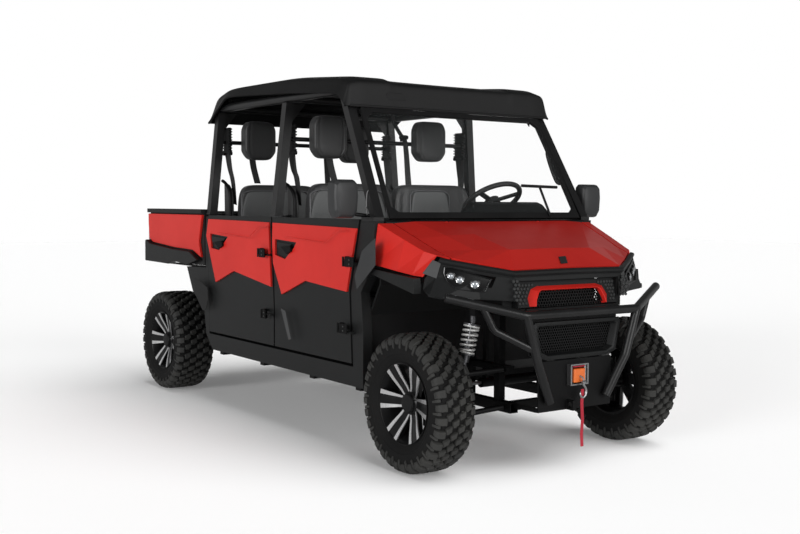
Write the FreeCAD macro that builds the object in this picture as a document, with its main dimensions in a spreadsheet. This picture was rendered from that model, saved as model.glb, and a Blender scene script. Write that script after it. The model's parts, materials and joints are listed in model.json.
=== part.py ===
"""Crew side by side utility vehicle: two benches under a roll cage, four half doors, a hood, a tipping bed.

Units are millimetres. Z is up and the ground is z = 0. The vehicle faces -Y, and its left side is +X.
The origin is on the ground, midway along the length and on the centre plane.
"""
import FreeCAD
import Part

import math
import os

V = FreeCAD.Vector

# Driving dimensions. Each row is the cell's alias, its value in millimetres or degrees, and what it measures.
SIZES = [
    ("front_overhang", 445, "front axle to the bumper's front face"),
    ("wheelbase", 2950, "front axle to rear axle"),
    ("rear_overhang", 385, "rear axle to the hitch receiver's open end"),
    ("half_width", 760, "centre plane to the doors' dark outer face"),
    ("tyre_stand_out", 47, "doors' dark outer face out to the tyres' outer face"),
    ("door_front", 14.068, "front door's front edge behind the front axle, in hundredths of the wheelbase"),
    ("door_split", 46.949, "gap between the doors behind the front axle, in hundredths of the wheelbase"),
    ("door_rear", 76.271, "rear door's rear edge behind the front axle, in hundredths of the wheelbase"),
    ("sill_rise", 12, "wheel centres up to the sill's lower edge"),
    ("sill_top", 475, "ground to the doors' lower edge"),
    ("belt_line", 1235, "ground to the doors' upper edge"),
    ("roof_rail", 1935, "ground to the roof rails' centre line"),
    ("roof_rise", 110, "roof rails' centre line up to the top of the roof"),
    ("tyre_radius", 343, "wheel centre to the lugs' tips"),
    ("front_tyre_width", 215, "front tyre's section width"),
    ("rear_tyre_width", 262, "rear tyre's section width"),
    ("rim_radius", 198, "wheel centre to the rim flange"),
    ("tread_depth", 16, "height of the tyres' lugs"),
    ("spindle_radius", 20, "radius of the stub axles"),
    ("running_gap", 0.05, "radial clearance of a shaft in its bore"),
    ("rest_gap", 0.3, "gap between a piece and what it rests on"),
    ("door_thickness", 40, "door shell from its inner to its outer face"),
    ("door_wall", 6, "outer wall left by the recess inside a door"),
    ("skin_thickness", 12, "coloured door skin standing on the dark door shell"),
    ("skin_lean", 7, "how far a door skin leans in above its crease"),
    ("hinge_offset", 28, "door face out to the hinge axis"),
    ("panel_wall", 10, "thickness of a moulded outer panel"),
    ("roof_wall", 12, "thickness of the moulded roof"),
    ("tub_wall", 14, "thickness of the floor, seat boxes and firewall"),
    ("cage_radius", 26, "radius of the cage's round tubes"),
    ("pillar_width", 52, "side of the cage's square pillars"),
    ("upper_cell", 30, "pitch of the upper grille's cells"),
    ("lower_cell", 36, "pitch of the lower grille's cells"),
    ("cell_bar", 5, "bar between two cells of a grille"),
    ("bumper_radius", 22, "radius of the bumper's tubes"),
    ("frame_tube", 50, "side of the chassis rails' square tube"),
    ("frame_half", 250, "centre plane to a chassis rail's centre line"),
    ("arm_radius", 14, "radius of the suspension arms' tubes"),
    ("shock_radius", 22, "radius of a damper's body"),
    ("spring_radius", 36, "damper's axis out to the spring wire's centre"),
    ("spring_wire", 6, "radius of the spring wire"),
    ("kingpin_inset", 120, "doors' dark outer face in to the front kingpins"),
    ("steering_arm", 110, "kingpin back to the tie rod's eye"),
    ("steering_wheel_radius", 175, "steering wheel's rim, to the centre of its grip"),
    ("grip_radius", 15, "radius of the steering wheel's grip"),
    ("column_lean", 35, "degrees that the steering column leans back from upright"),
    ("glass_thickness", 5, "windshield"),
    ("bed_wall", 45, "thickness of the bed's hollow side walls"),
    ("bed_floor", 30, "thickness of the bed's floor"),
    ("receiver_bore", 51, "inner side of the square hitch receiver"),
    ("receiver_wall", 6.5, "wall of the square hitch receiver"),
    ("hitch_pin_radius", 8, "radius of the hitch pin's hole"),
    ("hitch_pin_setback", 25, "receiver's open end forward to the pin's axis"),
    ("tow_eye_radius", 14, "radius of the hole in the front tow eye"),
]

doc = FreeCAD.newDocument("crew_utility_vehicle")
sheet = doc.addObject("Spreadsheet::Sheet", "sizes")
for row, (alias, amount, meaning) in enumerate(SIZES, 1):
    sheet.set(f"A{row}", meaning)
    sheet.set(f"B{row}", str(amount))
    sheet.setAlias(f"B{row}", alias)
doc.recompute()


def size(alias):
    """The sheet's value under this alias."""
    return float(sheet.get(alias))


# Stations. Outlines below are drawn in drawing coordinates: millimetres behind the front axle, above the
# ground and out from the centre plane, at the measured sizes. The stations carry them to the sheet's sizes,
# so a piece stays on the pieces that it meets.
LENGTH = size("front_overhang") + size("wheelbase") + size("rear_overhang")
FRONT_AXLE = size("front_overhang") - LENGTH / 2
REAR_AXLE = FRONT_AXLE + size("wheelbase")
REAR_END = REAR_AXLE + size("rear_overhang")
ALONG = [
    (-445, -LENGTH / 2),
    (0, FRONT_AXLE),
    (415, FRONT_AXLE + size("wheelbase") * size("door_front") / 100),
    (1385, FRONT_AXLE + size("wheelbase") * size("door_split") / 100),
    (2250, FRONT_AXLE + size("wheelbase") * size("door_rear") / 100),
    (2950, REAR_AXLE),
    (3335, REAR_END),
]
UP = [
    (0, 0),
    (355, size("tyre_radius") + size("sill_rise")),
    (475, size("sill_top")),
    (1235, size("belt_line")),
    (1935, size("roof_rail")),
    (2045, size("roof_rail") + size("roof_rise")),
]
OUT = [(0, 0), (760, size("half_width"))]


def carry(stations, value):
    """The place of a drawing coordinate: straight between two stations, and shifted past the last one."""
    if value <= stations[0][0]:
        return stations[0][1] + value - stations[0][0]
    for (low, low_place), (high, high_place) in zip(stations, stations[1:]):
        if value <= high:
            return low_place + (value - low) * (high_place - low_place) / (high - low)
    return stations[-1][1] + value - stations[-1][0]


def out(x):
    """Place of a distance out from the centre plane."""
    return math.copysign(carry(OUT, abs(x)), x)


def along(y):
    """Place of a distance behind the front axle."""
    return carry(ALONG, y)


def up(z):
    """Place of a height above the ground."""
    return carry(UP, z)


def at(x, y, z):
    """Place of a point of the drawing."""
    return V(out(x), along(y), up(z))


# Shapes


def as_feature(label, shape, kind="Part::Feature"):
    """A document object that holds a shape made by Part's own functions."""
    piece = doc.addObject(kind, label)
    piece.Label = label
    piece.Shape = shape
    return piece


def fused(shapes):
    """One solid from shapes that meet."""
    whole = shapes[0].multiFuse(shapes[1:]) if len(shapes) > 1 else shapes[0]
    return whole.removeSplitter()


def mirrored(shape):
    """The same shape on the other side of the centre plane."""
    return shape.mirror(V(0, 0, 0), V(1, 0, 0))


def both_sides(shape):
    """A left piece and its right twin."""
    return Part.makeCompound([*shape.Solids, *mirrored(shape).Solids])


def block(low, high):
    """A box between two places."""
    corner = V(min(low.x, high.x), min(low.y, high.y), min(low.z, high.z))
    return Part.makeBox(abs(high.x - low.x), abs(high.y - low.y), abs(high.z - low.z), corner)


def softened(shape, way, radius, bevel):
    """A prism with the edges along its own way rounded and the rims of both its ends bevelled."""
    long_edges = []
    for edge in shape.Edges:
        run = edge.Vertexes[-1].Point - edge.Vertexes[0].Point
        if run.cross(way).Length < 1e-6 * run.Length:
            long_edges.append(edge)
    shape = shape.makeFillet(radius, long_edges)
    stations = [vertex.Point.dot(way) for vertex in shape.Vertexes]
    rims = []
    for edge in shape.Edges:
        reach = [vertex.Point.dot(way) for vertex in edge.Vertexes]
        if max(reach) < min(stations) + 0.1 or min(reach) > max(stations) - 0.1:
            rims.append(edge)
    return shape.makeChamfer(bevel, rims)


def rod(start, end, radius):
    """A round bar between two places."""
    return Part.makeCylinder(radius, (end - start).Length, start, end - start)


def side_plate(outline, inner, outer):
    """A plate along the vehicle: its outline is in places behind and above, its faces at inner and outer."""
    corners = [V(inner, y, z) for y, z in outline]
    face = Part.Face(Part.makePolygon([*corners, corners[0]]))
    return face.extrude(V(outer - inner, 0, 0))


def drawn(outline):
    """An outline of the drawing, behind the axle and above the ground, carried to its places."""
    return [(along(y), up(z)) for y, z in outline]


def ribbon(line, wall):
    """The outline of a wall that follows a line of places: the line and its parallel, with mitred corners."""
    points = [V(y, z, 0) for y, z in line]
    shifted = []
    for i, point in enumerate(points):
        before = (point - points[i - 1]).normalize() if i else None
        after = (points[i + 1] - point).normalize() if i + 1 < len(points) else None
        before = before or after
        after = after or before
        normal_before = V(-before.y, before.x, 0)
        normal_after = V(-after.y, after.x, 0)
        middle = (normal_before + normal_after).normalize()
        shifted.append(point + middle * (wall / middle.dot(normal_after)))
    return [(p.x, p.y) for p in [*points, *reversed(shifted)]]


def bent_path(points, bend):
    """Straight runs through the points, joined by tangent arcs of the radius bend."""
    edges = []
    start = points[0]
    for before, corner, after in zip(points, points[1:], points[2:]):
        back = (before - corner).normalize()
        ahead = (after - corner).normalize()
        half = back.getAngle(ahead) / 2
        reach = bend / math.tan(half)
        first = corner + back * reach
        last = corner + ahead * reach
        middle = corner + (back + ahead).normalize() * (bend / math.sin(half) - bend)
        edges.append(Part.LineSegment(start, first).toShape())
        edges.append(Part.Arc(first, middle, last).toShape())
        start = last
    edges.append(Part.LineSegment(start, points[-1]).toShape())
    return Part.Wire(edges)


def bent_tube(points, radius, bend):
    """A round tube along bent_path, solid because its ends are capped."""
    path = bent_path(points, bend)
    section = Part.Wire(Part.makeCircle(radius, points[0], points[1] - points[0]))
    return path.makePipeShell([section], True, False)


def tapered_bar(start, end, width, depth):
    """A square bar that stands between two places, with level ends."""

    def section(centre):
        a, b = width / 2, depth / 2
        ring = [V(-a, -b, 0), V(a, -b, 0), V(a, b, 0), V(-a, b, 0), V(-a, -b, 0)]
        return Part.makePolygon([centre + corner for corner in ring])

    return Part.makeLoft([section(start), section(end)], True, True)


def grid_normal(grid, row, column):
    """The surface's normal at a grid point, from its neighbours."""
    rows, columns = len(grid), len(grid[0])
    down = grid[min(row + 1, rows - 1)][column] - grid[max(row - 1, 0)][column]
    across = grid[row][min(column + 1, columns - 1)] - grid[row][max(column - 1, 0)]
    return across.cross(down).normalize()


def facet(*corners):
    return Part.Face(Part.makePolygon([*corners, corners[0]]))


def grid_panel(grid, wall):
    """A moulded panel: flat facets through the grid's points, and the same set back by the wall inside."""
    rows, columns = len(grid), len(grid[0])
    inner = [[grid[r][c] - grid_normal(grid, r, c) * wall for c in range(columns)] for r in range(rows)]
    faces = []
    for r in range(rows - 1):
        for c in range(columns - 1):
            for skin in (grid, inner):
                a, b, d, e = skin[r][c], skin[r][c + 1], skin[r + 1][c + 1], skin[r + 1][c]
                faces += [facet(a, b, d), facet(a, d, e)]
    border = [(0, c) for c in range(columns)] + [(r, columns - 1) for r in range(1, rows)]
    border += [(rows - 1, c) for c in range(columns - 2, -1, -1)] + [(r, 0) for r in range(rows - 2, 0, -1)]
    for (r, c), (s, d) in zip(border, border[1:] + border[:1]):
        faces += [facet(grid[r][c], grid[s][d], inner[s][d]), facet(grid[r][c], inner[s][d], inner[r][c])]
    solid = Part.makeSolid(Part.makeShell(faces))
    if solid.Volume < 0:
        solid.reverse()
    return solid.removeSplitter()


def between_rings(front, back):
    """A closed solid between two rings of as many corners, each ring fanned from its first corner."""
    faces = []
    for i in range(1, len(front) - 1):
        faces += [facet(front[0], front[i], front[i + 1]), facet(back[0], back[i], back[i + 1])]
    for i, corner in enumerate(front):
        j = (i + 1) % len(front)
        faces += [facet(corner, front[j], back[j]), facet(corner, back[j], back[i])]
    solid = Part.makeSolid(Part.makeShell(faces))
    if solid.Volume < 0:
        solid.reverse()
    return solid


def inside(outline, point):
    """Whether a point of a plane lies inside an outline."""
    hits = 0
    for (x1, z1), (x2, z2) in zip(outline, outline[1:] + outline[:1]):
        if (z1 > point[1]) != (z2 > point[1]):
            hits += point[0] < x1 + (point[1] - z1) * (x2 - x1) / (z2 - z1)
    return hits % 2 == 1


def plane_wire(outline):
    """A closed wire across the vehicle: outline in places out and above."""
    corners = [V(x, 0, z) for x, z in outline]
    return Part.makePolygon([*corners, corners[0]])


def plane_plate(outline, holes, depth):
    """An upright plate across the vehicle with holes through it, its front face at y = 0."""
    face = Part.makeFace([plane_wire(ring) for ring in (outline, *holes)], "Part::FaceMakerBullseye")
    return face.extrude(V(0, depth, 0))


def honeycomb(outline, cell, bar, depth):
    """A plate of six-sided cells: every whole cell that fits inside the outline is cut through it."""
    corner = (cell - bar) / math.sqrt(3)
    xs = [x for x, z in outline]
    zs = [z for x, z in outline]
    holes = []
    row_step = cell * math.sqrt(3) / 2
    middle = (min(zs) + max(zs)) / 2
    rows = int((max(zs) - min(zs)) / row_step / 2) + 1
    columns = int(max(xs) / cell) + 1
    for row in range(-rows, rows + 1):
        for column in range(-columns, columns + 1):
            x = (column + 0.5 * (row % 2)) * cell
            z = middle + row * row_step
            ring = []
            reach = []
            for number in range(6):
                angle = math.radians(60 * number + 30)
                ring.append((x + corner * math.cos(angle), z + corner * math.sin(angle)))
                reach.append((x + (corner + bar) * math.cos(angle), z + (corner + bar) * math.sin(angle)))
            if all(inside(outline, point) for point in reach):
                holes.append(ring)
    return plane_plate(outline, holes, depth)


def opposite(point):
    """The same place on the other side of the centre plane."""
    return V(-point.x, point.y, point.z)


def mirror_row(row):
    """A full row of a grid from its left half, which starts on the centre plane."""
    return [opposite(point) for point in reversed(row[1:])] + row


# Sketched bodies


def origin_plane(body, role):
    return next(f for f in body.Origin.OriginFeatures if f.Role == role)


def new_body(label):
    body = doc.addObject("PartDesign::Body", label)
    body.Label = label
    return body


def new_sketch(body, name, role, loops):
    """A sketch of closed loops of straight sides on one of the body's own origin planes."""
    sketch = body.newObject("Sketcher::SketchObject", name)
    sketch.AttachmentSupport = (origin_plane(body, role), [""])
    sketch.MapMode = "FlatFace"
    for loop in loops:
        corners = [V(a, b, 0) for a, b in loop]
        sides = [Part.LineSegment(p, q) for p, q in zip(corners, corners[1:] + corners[:1])]
        sketch.addGeometry(sides, False)
    return sketch


def padded_body(label, loops, length, place):
    """A body padded out of the side plane: loops in the plane, length and place along X as expressions."""
    body = new_body(label)
    sketch = new_sketch(body, label + "_outline", "YZ_Plane", loops)
    pad = body.newObject("PartDesign::Pad", label + "_pad")
    pad.Profile = sketch
    pad.setExpression("Length", length)
    body.setExpression("Placement.Base.x", place)
    return body, pad


def pocket_in(body, name, loops, depth, reversed_way):
    """A recess cut from the side plane into the pad."""
    sketch = new_sketch(body, name + "_outline", "YZ_Plane", loops)
    pocket = body.newObject("PartDesign::Pocket", name)
    pocket.Profile = sketch
    pocket.setExpression("Length", depth)
    pocket.Reversed = reversed_way
    return pocket


def turned_body(label, loop, place):
    """A body turned about X: the loop is (x, radius), and place holds the expressions of its position."""
    body = new_body(label)
    sketch = new_sketch(body, label + "_profile", "XY_Plane", [loop])
    turned = body.newObject("PartDesign::Revolution", label + "_turned")
    turned.Profile = sketch
    turned.ReferenceAxis = (sketch, ["H_Axis"])
    turned.Angle = 360.0
    for axis, expression in place.items():
        body.setExpression("Placement.Base." + axis, expression)
    return body


def twin(label, source):
    """The piece on the other side of the centre plane."""
    piece = doc.addObject("Part::Mirroring", label)
    piece.Label = label
    piece.Source = source
    piece.Normal = V(1, 0, 0)
    return piece


def primitive(kind, name, place=V(0, 0, 0), turn=None, **cells):
    """A Part primitive at a place, with its sizes bound to the sheet."""
    piece = doc.addObject(kind, name)
    piece.Placement = FreeCAD.Placement(place, turn or FreeCAD.Rotation())
    for cell, expression in cells.items():
        piece.setExpression(cell, expression)
    return piece


def combined(kind, label, pieces):
    """A Part boolean or compound of several pieces."""
    whole = doc.addObject(kind, label)
    whole.Label = label
    if kind == "Part::Cut":
        whole.Base, whole.Tool = pieces
    elif kind == "Part::Compound":
        whole.Links = pieces
    else:
        whole.Shapes = pieces
    return whole


TO_LEFT = FreeCAD.Rotation(V(0, 1, 0), 90)
HALF = size("half_width")
AXLE_HEIGHT = size("tyre_radius")
REST = size("rest_gap")

# Chassis rails: two hollow square tubes under the floor.

rail_half = size("frame_half")
rail_side = rail_half - size("frame_tube") / 2
rail_top = size("tyre_radius") - 20
rail_low = rail_top - size("frame_tube")
rails = []
for side in ("left", "right"):
    middle = rail_half if side == "left" else -rail_half
    corner = V(middle - size("frame_tube") / 2, along(-200), rail_low)
    outer = primitive(
        "Part::Box",
        side + "_rail_outer",
        corner,
        Length="sizes.frame_tube",
        Width="sizes.wheelbase + sizes.rear_overhang / 2 + 182",
        Height="sizes.frame_tube",
    )
    inner = primitive(
        "Part::Box",
        side + "_rail_inner",
        corner + V(4, -1, 4),
        Length="sizes.frame_tube - 8",
        Width="sizes.wheelbase + sizes.rear_overhang / 2 + 184",
        Height="sizes.frame_tube - 8",
    )
    rails.append(combined("Part::Cut", side + "_rail", (outer, inner)))

floor_under = up(371) - size("tub_wall")
cross_bars = []
for y in (-150, 2560, 2830, 3100):
    reach = rail_side - REST
    cross_bars.append(block(V(-reach, along(y) - 20, rail_low + 6), V(reach, along(y) + 20, rail_top)))
outrigger = out(700) - REST
for y in (535, 1020, 1620, 2180):
    low = V(-outrigger, along(y) - 25, rail_top + REST)
    cross_bars.append(block(low, V(outrigger, along(y) + 25, floor_under - REST)))
cross_members = as_feature("cross_members", Part.makeCompound(cross_bars))
combined("Part::Compound", "frame", [*rails, cross_members])

# Front and rear subframes: uprights on the rails that carry the arms, the dampers' upper ends and the bed.


def strut(x, y, low, high, half=20):
    return block(V(x - half, along(y) - half, low), V(x + half, along(y) + half, high))



def slit(shape, axis, place):
    """Part a welded frame at a plane: each member is a solid of its own with the rest gap beside it."""
    low = V(-900, FRONT_AXLE - 400, 0)
    high = V(900, REAR_AXLE + 400, 1200)
    setattr(low, axis, place)
    setattr(high, axis, place + REST)
    return shape.cut(block(low, high))


TOWER_TOP = up(800)
front_towers = []
for y in (-85, 150):
    front_towers.append(strut(rail_half, y, rail_top, TOWER_TOP))
front_bar = block(V(rail_half, along(-105), TOWER_TOP - 40), V(HALF - 330, along(-65), TOWER_TOP))
front_long_low = V(rail_half - 20, along(-336) + REST, TOWER_TOP - 40)
front_long = block(front_long_low, V(rail_half + 20, along(140), TOWER_TOP))
front_left = fused([*front_towers, front_bar, front_long])
front_arm_bar = block(
    V(rail_half - 25, FRONT_AXLE - 170, AXLE_HEIGHT + 132),
    V(rail_half + 25, FRONT_AXLE + 170, AXLE_HEIGHT + 162),
)
rear_arm_bar = front_arm_bar.translated(V(0, REAR_AXLE - FRONT_AXLE, 0))
tie_half = rail_half - 20 - REST
front_tie = block(V(-tie_half, along(-105), TOWER_TOP - 40), V(tie_half, along(-65), TOWER_TOP))
front_left = fused([front_left, front_arm_bar])
for level in (TOWER_TOP - 40 - REST, AXLE_HEIGHT + 132 - REST, AXLE_HEIGHT + 162):
    front_left = slit(front_left, "z", level)
front_subframe = [front_left, mirrored(front_left), front_tie]

BED_REST = up(868)
rear_posts = [strut(rail_half, y, rail_top, BED_REST) for y in (2500, 2860, 3080)]
rear_long = block(V(rail_half - 20, along(2400), BED_REST - 40), V(rail_half + 20, along(3100), BED_REST))
rear_bar = block(V(rail_half, along(2840), TOWER_TOP - 40), V(HALF - 330, along(2880), TOWER_TOP))
BED_PIVOT = V(0, along(3125), BED_REST - 12)
neck_low = V(rail_half - 8, along(3098), BED_PIVOT.z - 12)
pivot_neck = block(neck_low, V(rail_half + 8, BED_PIVOT.y, BED_PIVOT.z + 12))
pivot_eye = rod(BED_PIVOT + V(rail_half - 8, 0, 0), BED_PIVOT + V(rail_half + 8, 0, 0), 12)
pivot_radius = 6 + size("running_gap")
pivot_bore = rod(BED_PIVOT + V(rail_half - 9, 0, 0), BED_PIVOT + V(rail_half + 9, 0, 0), pivot_radius)
rear_left = fused([*rear_posts, rear_long, rear_bar, rear_arm_bar, pivot_neck, pivot_eye]).cut(pivot_bore)
rear_tie = block(V(-tie_half, along(2480), BED_REST - 40), V(tie_half, along(2520), BED_REST))
for level in (BED_REST - 40 - REST, AXLE_HEIGHT + 132 - REST, AXLE_HEIGHT + 162):
    rear_left = slit(rear_left, "z", level)
rear_subframe = [rear_left, mirrored(rear_left), rear_tie]

primitive(
    "Part::Box",
    "battery_pack",
    V(-350, along(800), up(371) + REST),
    Length="700",
    Width="sizes.wheelbase * 360 / 2950",
    Height="210",
)
primitive(
    "Part::Box",
    "drive_unit",
    V(-150, REAR_AXLE - 160, rail_top + REST),
    Length="300",
    Width="300",
    Height="220",
)

# Suspension: an upper and a lower wishbone at each wheel, and a coil-over damper on the upper one.

arm_radius = size("arm_radius")
KINGPIN = HALF - size("kingpin_inset")
UPPER_BALL = AXLE_HEIGHT + 107
LOWER_BALL = AXLE_HEIGHT - 103


def wishbones(axle, outer_x, lower_rise, upper_rise):
    """Two tubes from the chassis to each ball joint, meeting in a round eye."""
    members = []
    for height, rise in ((LOWER_BALL, lower_rise), (UPPER_BALL, upper_rise)):
        eye = V(outer_x, axle, height)
        legs = [rod(V(rail_half + 31, axle + dy, height + rise), eye, arm_radius) for dy in (-150, 150)]
        boss = Part.makeCylinder(arm_radius + 6, 35.4, eye - V(0, 0, 17.7))
        members.append(fused([*legs, boss]))
    return members


REAR_UPRIGHT = KINGPIN - 20
DAMPER_X = KINGPIN - 170
DAMPER_TOP = DAMPER_X - 45
RISE = 40


def damper_foot(axle, outer_x):
    """The place on the upper wishbone's front leg that carries the damper."""
    inboard = V(rail_half + 31, axle - 150, UPPER_BALL + RISE)
    outboard = V(outer_x, axle, UPPER_BALL)
    return inboard + (outboard - inboard) * ((DAMPER_X - inboard.x) / (outboard.x - inboard.x))


front_foot = damper_foot(FRONT_AXLE, KINGPIN)
rear_foot = damper_foot(REAR_AXLE, REAR_UPRIGHT)
front_arms = wishbones(FRONT_AXLE, KINGPIN, 60, RISE)
rear_arms = wishbones(REAR_AXLE, REAR_UPRIGHT, 60, RISE)
for arms, foot in ((front_arms, front_foot), (rear_arms, rear_foot)):
    arms[1] = fused([arms[1], rod(foot, foot + V(0, 0, 34), 11)])
as_feature("suspension_arms", both_sides(Part.makeCompound(front_arms + rear_arms)))


def damper(top, foot):
    """A coil-over damper: rod, body and spring seats, between upright eyes."""
    shaft = foot - top
    length = shaft.Length
    way = V(shaft).normalize()
    shapes = [
        rod(top - V(0, 0, 14), top + V(0, 0, 20), 15),
        rod(foot - V(0, 0, 14), foot + V(0, 0, 14), 15),
        rod(top, foot, size("shock_radius") * 0.5),
        rod(top + way * (length * 0.45), foot - way * 15, size("shock_radius")),
        rod(top + way * 20, top + way * 28, size("spring_radius") + size("spring_wire")),
        rod(foot - way * 60, foot - way * 52, size("spring_radius") + size("spring_wire")),
    ]
    return fused(shapes)


EYE = V(0, 0, 34 + 14 + REST)
front_shock = damper(V(DAMPER_TOP, along(-85), TOWER_TOP - 60 - REST), front_foot + EYE)
rear_shock = damper(V(DAMPER_TOP, along(2860), TOWER_TOP - 60 - REST), rear_foot + EYE)
as_feature("shocks", both_sides(Part.makeCompound([front_shock, rear_shock])))

# Rear hubs: carriers at the wishbones' ends, stub axles and the half shafts.


def hub_carrier(label, kingpin_x, axle, side):
    """An upright plate with a barrel round the stub axle, and the stub axle that carries the wheel."""
    plate = primitive(
        "Part::Box",
        label + "_plate",
        V(kingpin_x - 12 if side > 0 else -kingpin_x - 12, axle - 22, LOWER_BALL + 18),
        Length="24",
        Width="44",
        Height=str(UPPER_BALL - LOWER_BALL - 36),
    )
    start = kingpin_x - 15 if side > 0 else -kingpin_x - 40
    barrel = primitive(
        "Part::Cylinder",
        label + "_barrel",
        V(start, axle, AXLE_HEIGHT),
        TO_LEFT,
        Radius="sizes.spindle_radius * 2.4",
        Height="55",
    )
    spindle_start = kingpin_x if side > 0 else -size("half_width") - 2
    spindle = primitive(
        "Part::Cylinder",
        label + "_spindle",
        V(spindle_start, axle, AXLE_HEIGHT),
        TO_LEFT,
        Radius="sizes.spindle_radius",
        Height=f"sizes.half_width + 2 - {kingpin_x}",
    )
    return [plate, barrel, spindle]


rear_hubs = []
for side, sign in (("left", 1), ("right", -1)):
    pieces = hub_carrier("rear_" + side + "_hub", REAR_UPRIGHT, REAR_AXLE, sign)
    start = 150 if sign > 0 else 5 - REAR_UPRIGHT
    shaft = primitive(
        "Part::Cylinder",
        "rear_" + side + "_half_shaft",
        V(start, REAR_AXLE, AXLE_HEIGHT),
        TO_LEFT,
        Radius="sizes.spindle_radius * 0.7",
        Height=str(REAR_UPRIGHT - 155),
    )
    rear_hubs.append(combined("Part::MultiFuse", "rear_" + side + "_hub", [*pieces, shaft]))
combined("Part::Compound", "rear_axles", rear_hubs)

# Front knuckles: the same upright, with an arm behind the kingpin for the tie rod.

EYE_LOW = AXLE_HEIGHT + 14
for side, sign in (("left", 1), ("right", -1)):
    label = "front_" + side + "_knuckle"
    pieces = hub_carrier(label + "_part", KINGPIN, FRONT_AXLE, sign)
    arm = primitive(
        "Part::Box",
        label + "_arm",
        V(sign * (KINGPIN - 12) - 12, FRONT_AXLE, EYE_LOW),
        Length="24",
        Width="sizes.steering_arm + 14",
        Height="14",
    )
    combined("Part::MultiFuse", label, [*pieces, arm])

# Steering rack: a bar that slides across the vehicle, with tie rods lying on the steering arms' ends.

eye = V(KINGPIN - 12, FRONT_AXLE + size("steering_arm"), EYE_LOW + 14 + 10 + REST)
rack_bar = rod(V(-eye.x, eye.y, eye.z), eye, 10)
as_feature("steering_rack", rack_bar)
housing_bore = rod(V(-216, eye.y, eye.z), V(216, eye.y, eye.z), 10 + size("running_gap"))
housing = rod(V(-215, eye.y, eye.z), V(215, eye.y, eye.z), 26).cut(housing_bore)
legs = [block(V(x - 10, eye.y - 14, eye.z + 20), V(x + 10, eye.y + 14, TOWER_TOP - 60)) for x in (-180, 180)]
tie = block(V(-rail_half + 20, eye.y - 14, TOWER_TOP - 60), V(rail_half - 20, eye.y + 14, TOWER_TOP - 40))
rack_frame = slit(fused([*legs, tie]), "z", TOWER_TOP - 60 - REST)
rack_frame = rack_frame.cut(rod(V(-216, eye.y, eye.z), V(216, eye.y, eye.z), 26 + REST))
members = []
for shape in (*front_subframe, *rear_subframe, rack_frame, housing):
    members += [piece for piece in shape.Solids if piece.Volume > 500]
as_feature("subframes", Part.makeCompound(members))

# Wheels: a turned rim with six pairs of spokes left between windows, and a tyre on its bead seats.

BEAD = size("rim_radius") - 10
BORE = size("spindle_radius") + size("running_gap")
TIP = size("tyre_radius")
PITCHES = 24
SECTOR = math.pi / PITCHES


def rim_loop(wide):
    """Half of the rim's section: distance out of the wheel's middle plane, and radius."""
    flange = size("rim_radius")
    return [
        (-84 - wide, BEAD - 6),
        (-84 - wide, flange),
        (-78 - wide, flange),
        (-76 - wide, BEAD),
        (-48 - wide, BEAD),
        (-38 - wide, BEAD - 14),
        (38 + wide, BEAD - 14),
        (48 + wide, BEAD),
        (76 + wide, BEAD),
        (78 + wide, flange),
        (84 + wide, flange),
        (84 + wide, BEAD - 6),
        (60 + wide, BEAD - 10),
        (60 + wide, BORE),
        (36 + wide, BORE),
        (36 + wide, 60),
        (46 + wide, 75),
        (42 + wide, BEAD - 20),
        (-40 - wide, BEAD - 20),
        (-50 - wide, BEAD - 6),
    ]


def spoke_edge(radius, hand):
    """Offset of a spoke pair's outer edge, hand 1, and of the slot between its two bars, hand 0."""
    share = (radius - 46) / (178 - 46)
    middle = 10.5 + 13 * share
    half_bar = 6.25 + 7.25 * share
    return middle + half_bar if hand else middle - half_bar


def rim_windows(wide):
    """The windows cut through the rim's disc: one between each two pairs of spokes, one inside each pair."""
    windows = []
    for pair in range(6):
        near, far = 66, BEAD - 28
        turn = FreeCAD.Rotation(V(1, 0, 0), 60 * pair - 9.2)
        following = FreeCAD.Rotation(V(1, 0, 0), 60 * pair + 50.8)
        slot = [(spoke_edge(r, 0) * s, r) for r, s in ((near + 14, 1), (far, 1), (far, -1), (near + 14, -1))]
        gap = [turn.multVec(V(0, -spoke_edge(r, 1), r)) for r in (near, far)]
        gap += [following.multVec(V(0, spoke_edge(r, 1), r)) for r in (far, near)]
        for corners in ([turn.multVec(V(0, y, z)) for y, z in slot], gap):
            face = facet(*[corner + V(30 + wide, 0, 0) for corner in corners])
            windows.append(face.extrude(V(40, 0, 0)))
    return Part.makeCompound(windows)


def tyre_body(wide):
    """The hollow carcass, open at the beads, with as many flat facets round it as a shoulder has lugs."""
    tread = TIP - size("tread_depth")
    seat = BEAD + REST
    half = [(50, seat), (74.6, seat), (77.2, BEAD + 10.5), (85, BEAD + 11.5)]
    half += [(107.4, TIP - 81), (103, tread - 18), (86, tread)]
    inside = [(84, tread - 16), (92, TIP - 85), (56, BEAD + 24)]
    loop = [(x + wide, r) for x, r in half] + [(-x - wide, r) for x, r in reversed(half)]
    loop += [(-x - wide, r) for x, r in reversed(inside)] + [(x + wide, r) for x, r in inside]
    rings = []
    for number in range(PITCHES):
        angle = (2 * number + 1) * SECTOR
        stretch = 1 / math.cos(SECTOR)
        rings.append([V(x, r * stretch * math.sin(angle), r * stretch * math.cos(angle)) for x, r in loop])
    faces = []
    for ring, following in zip(rings, rings[1:] + rings[:1]):
        for i in range(len(loop)):
            j = (i + 1) % len(loop)
            faces.append(facet(ring[i], ring[j], following[j], following[i]))
    solid = Part.makeSolid(Part.makeShell(faces))
    if solid.Volume < 0:
        solid.reverse()
    return solid


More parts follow.
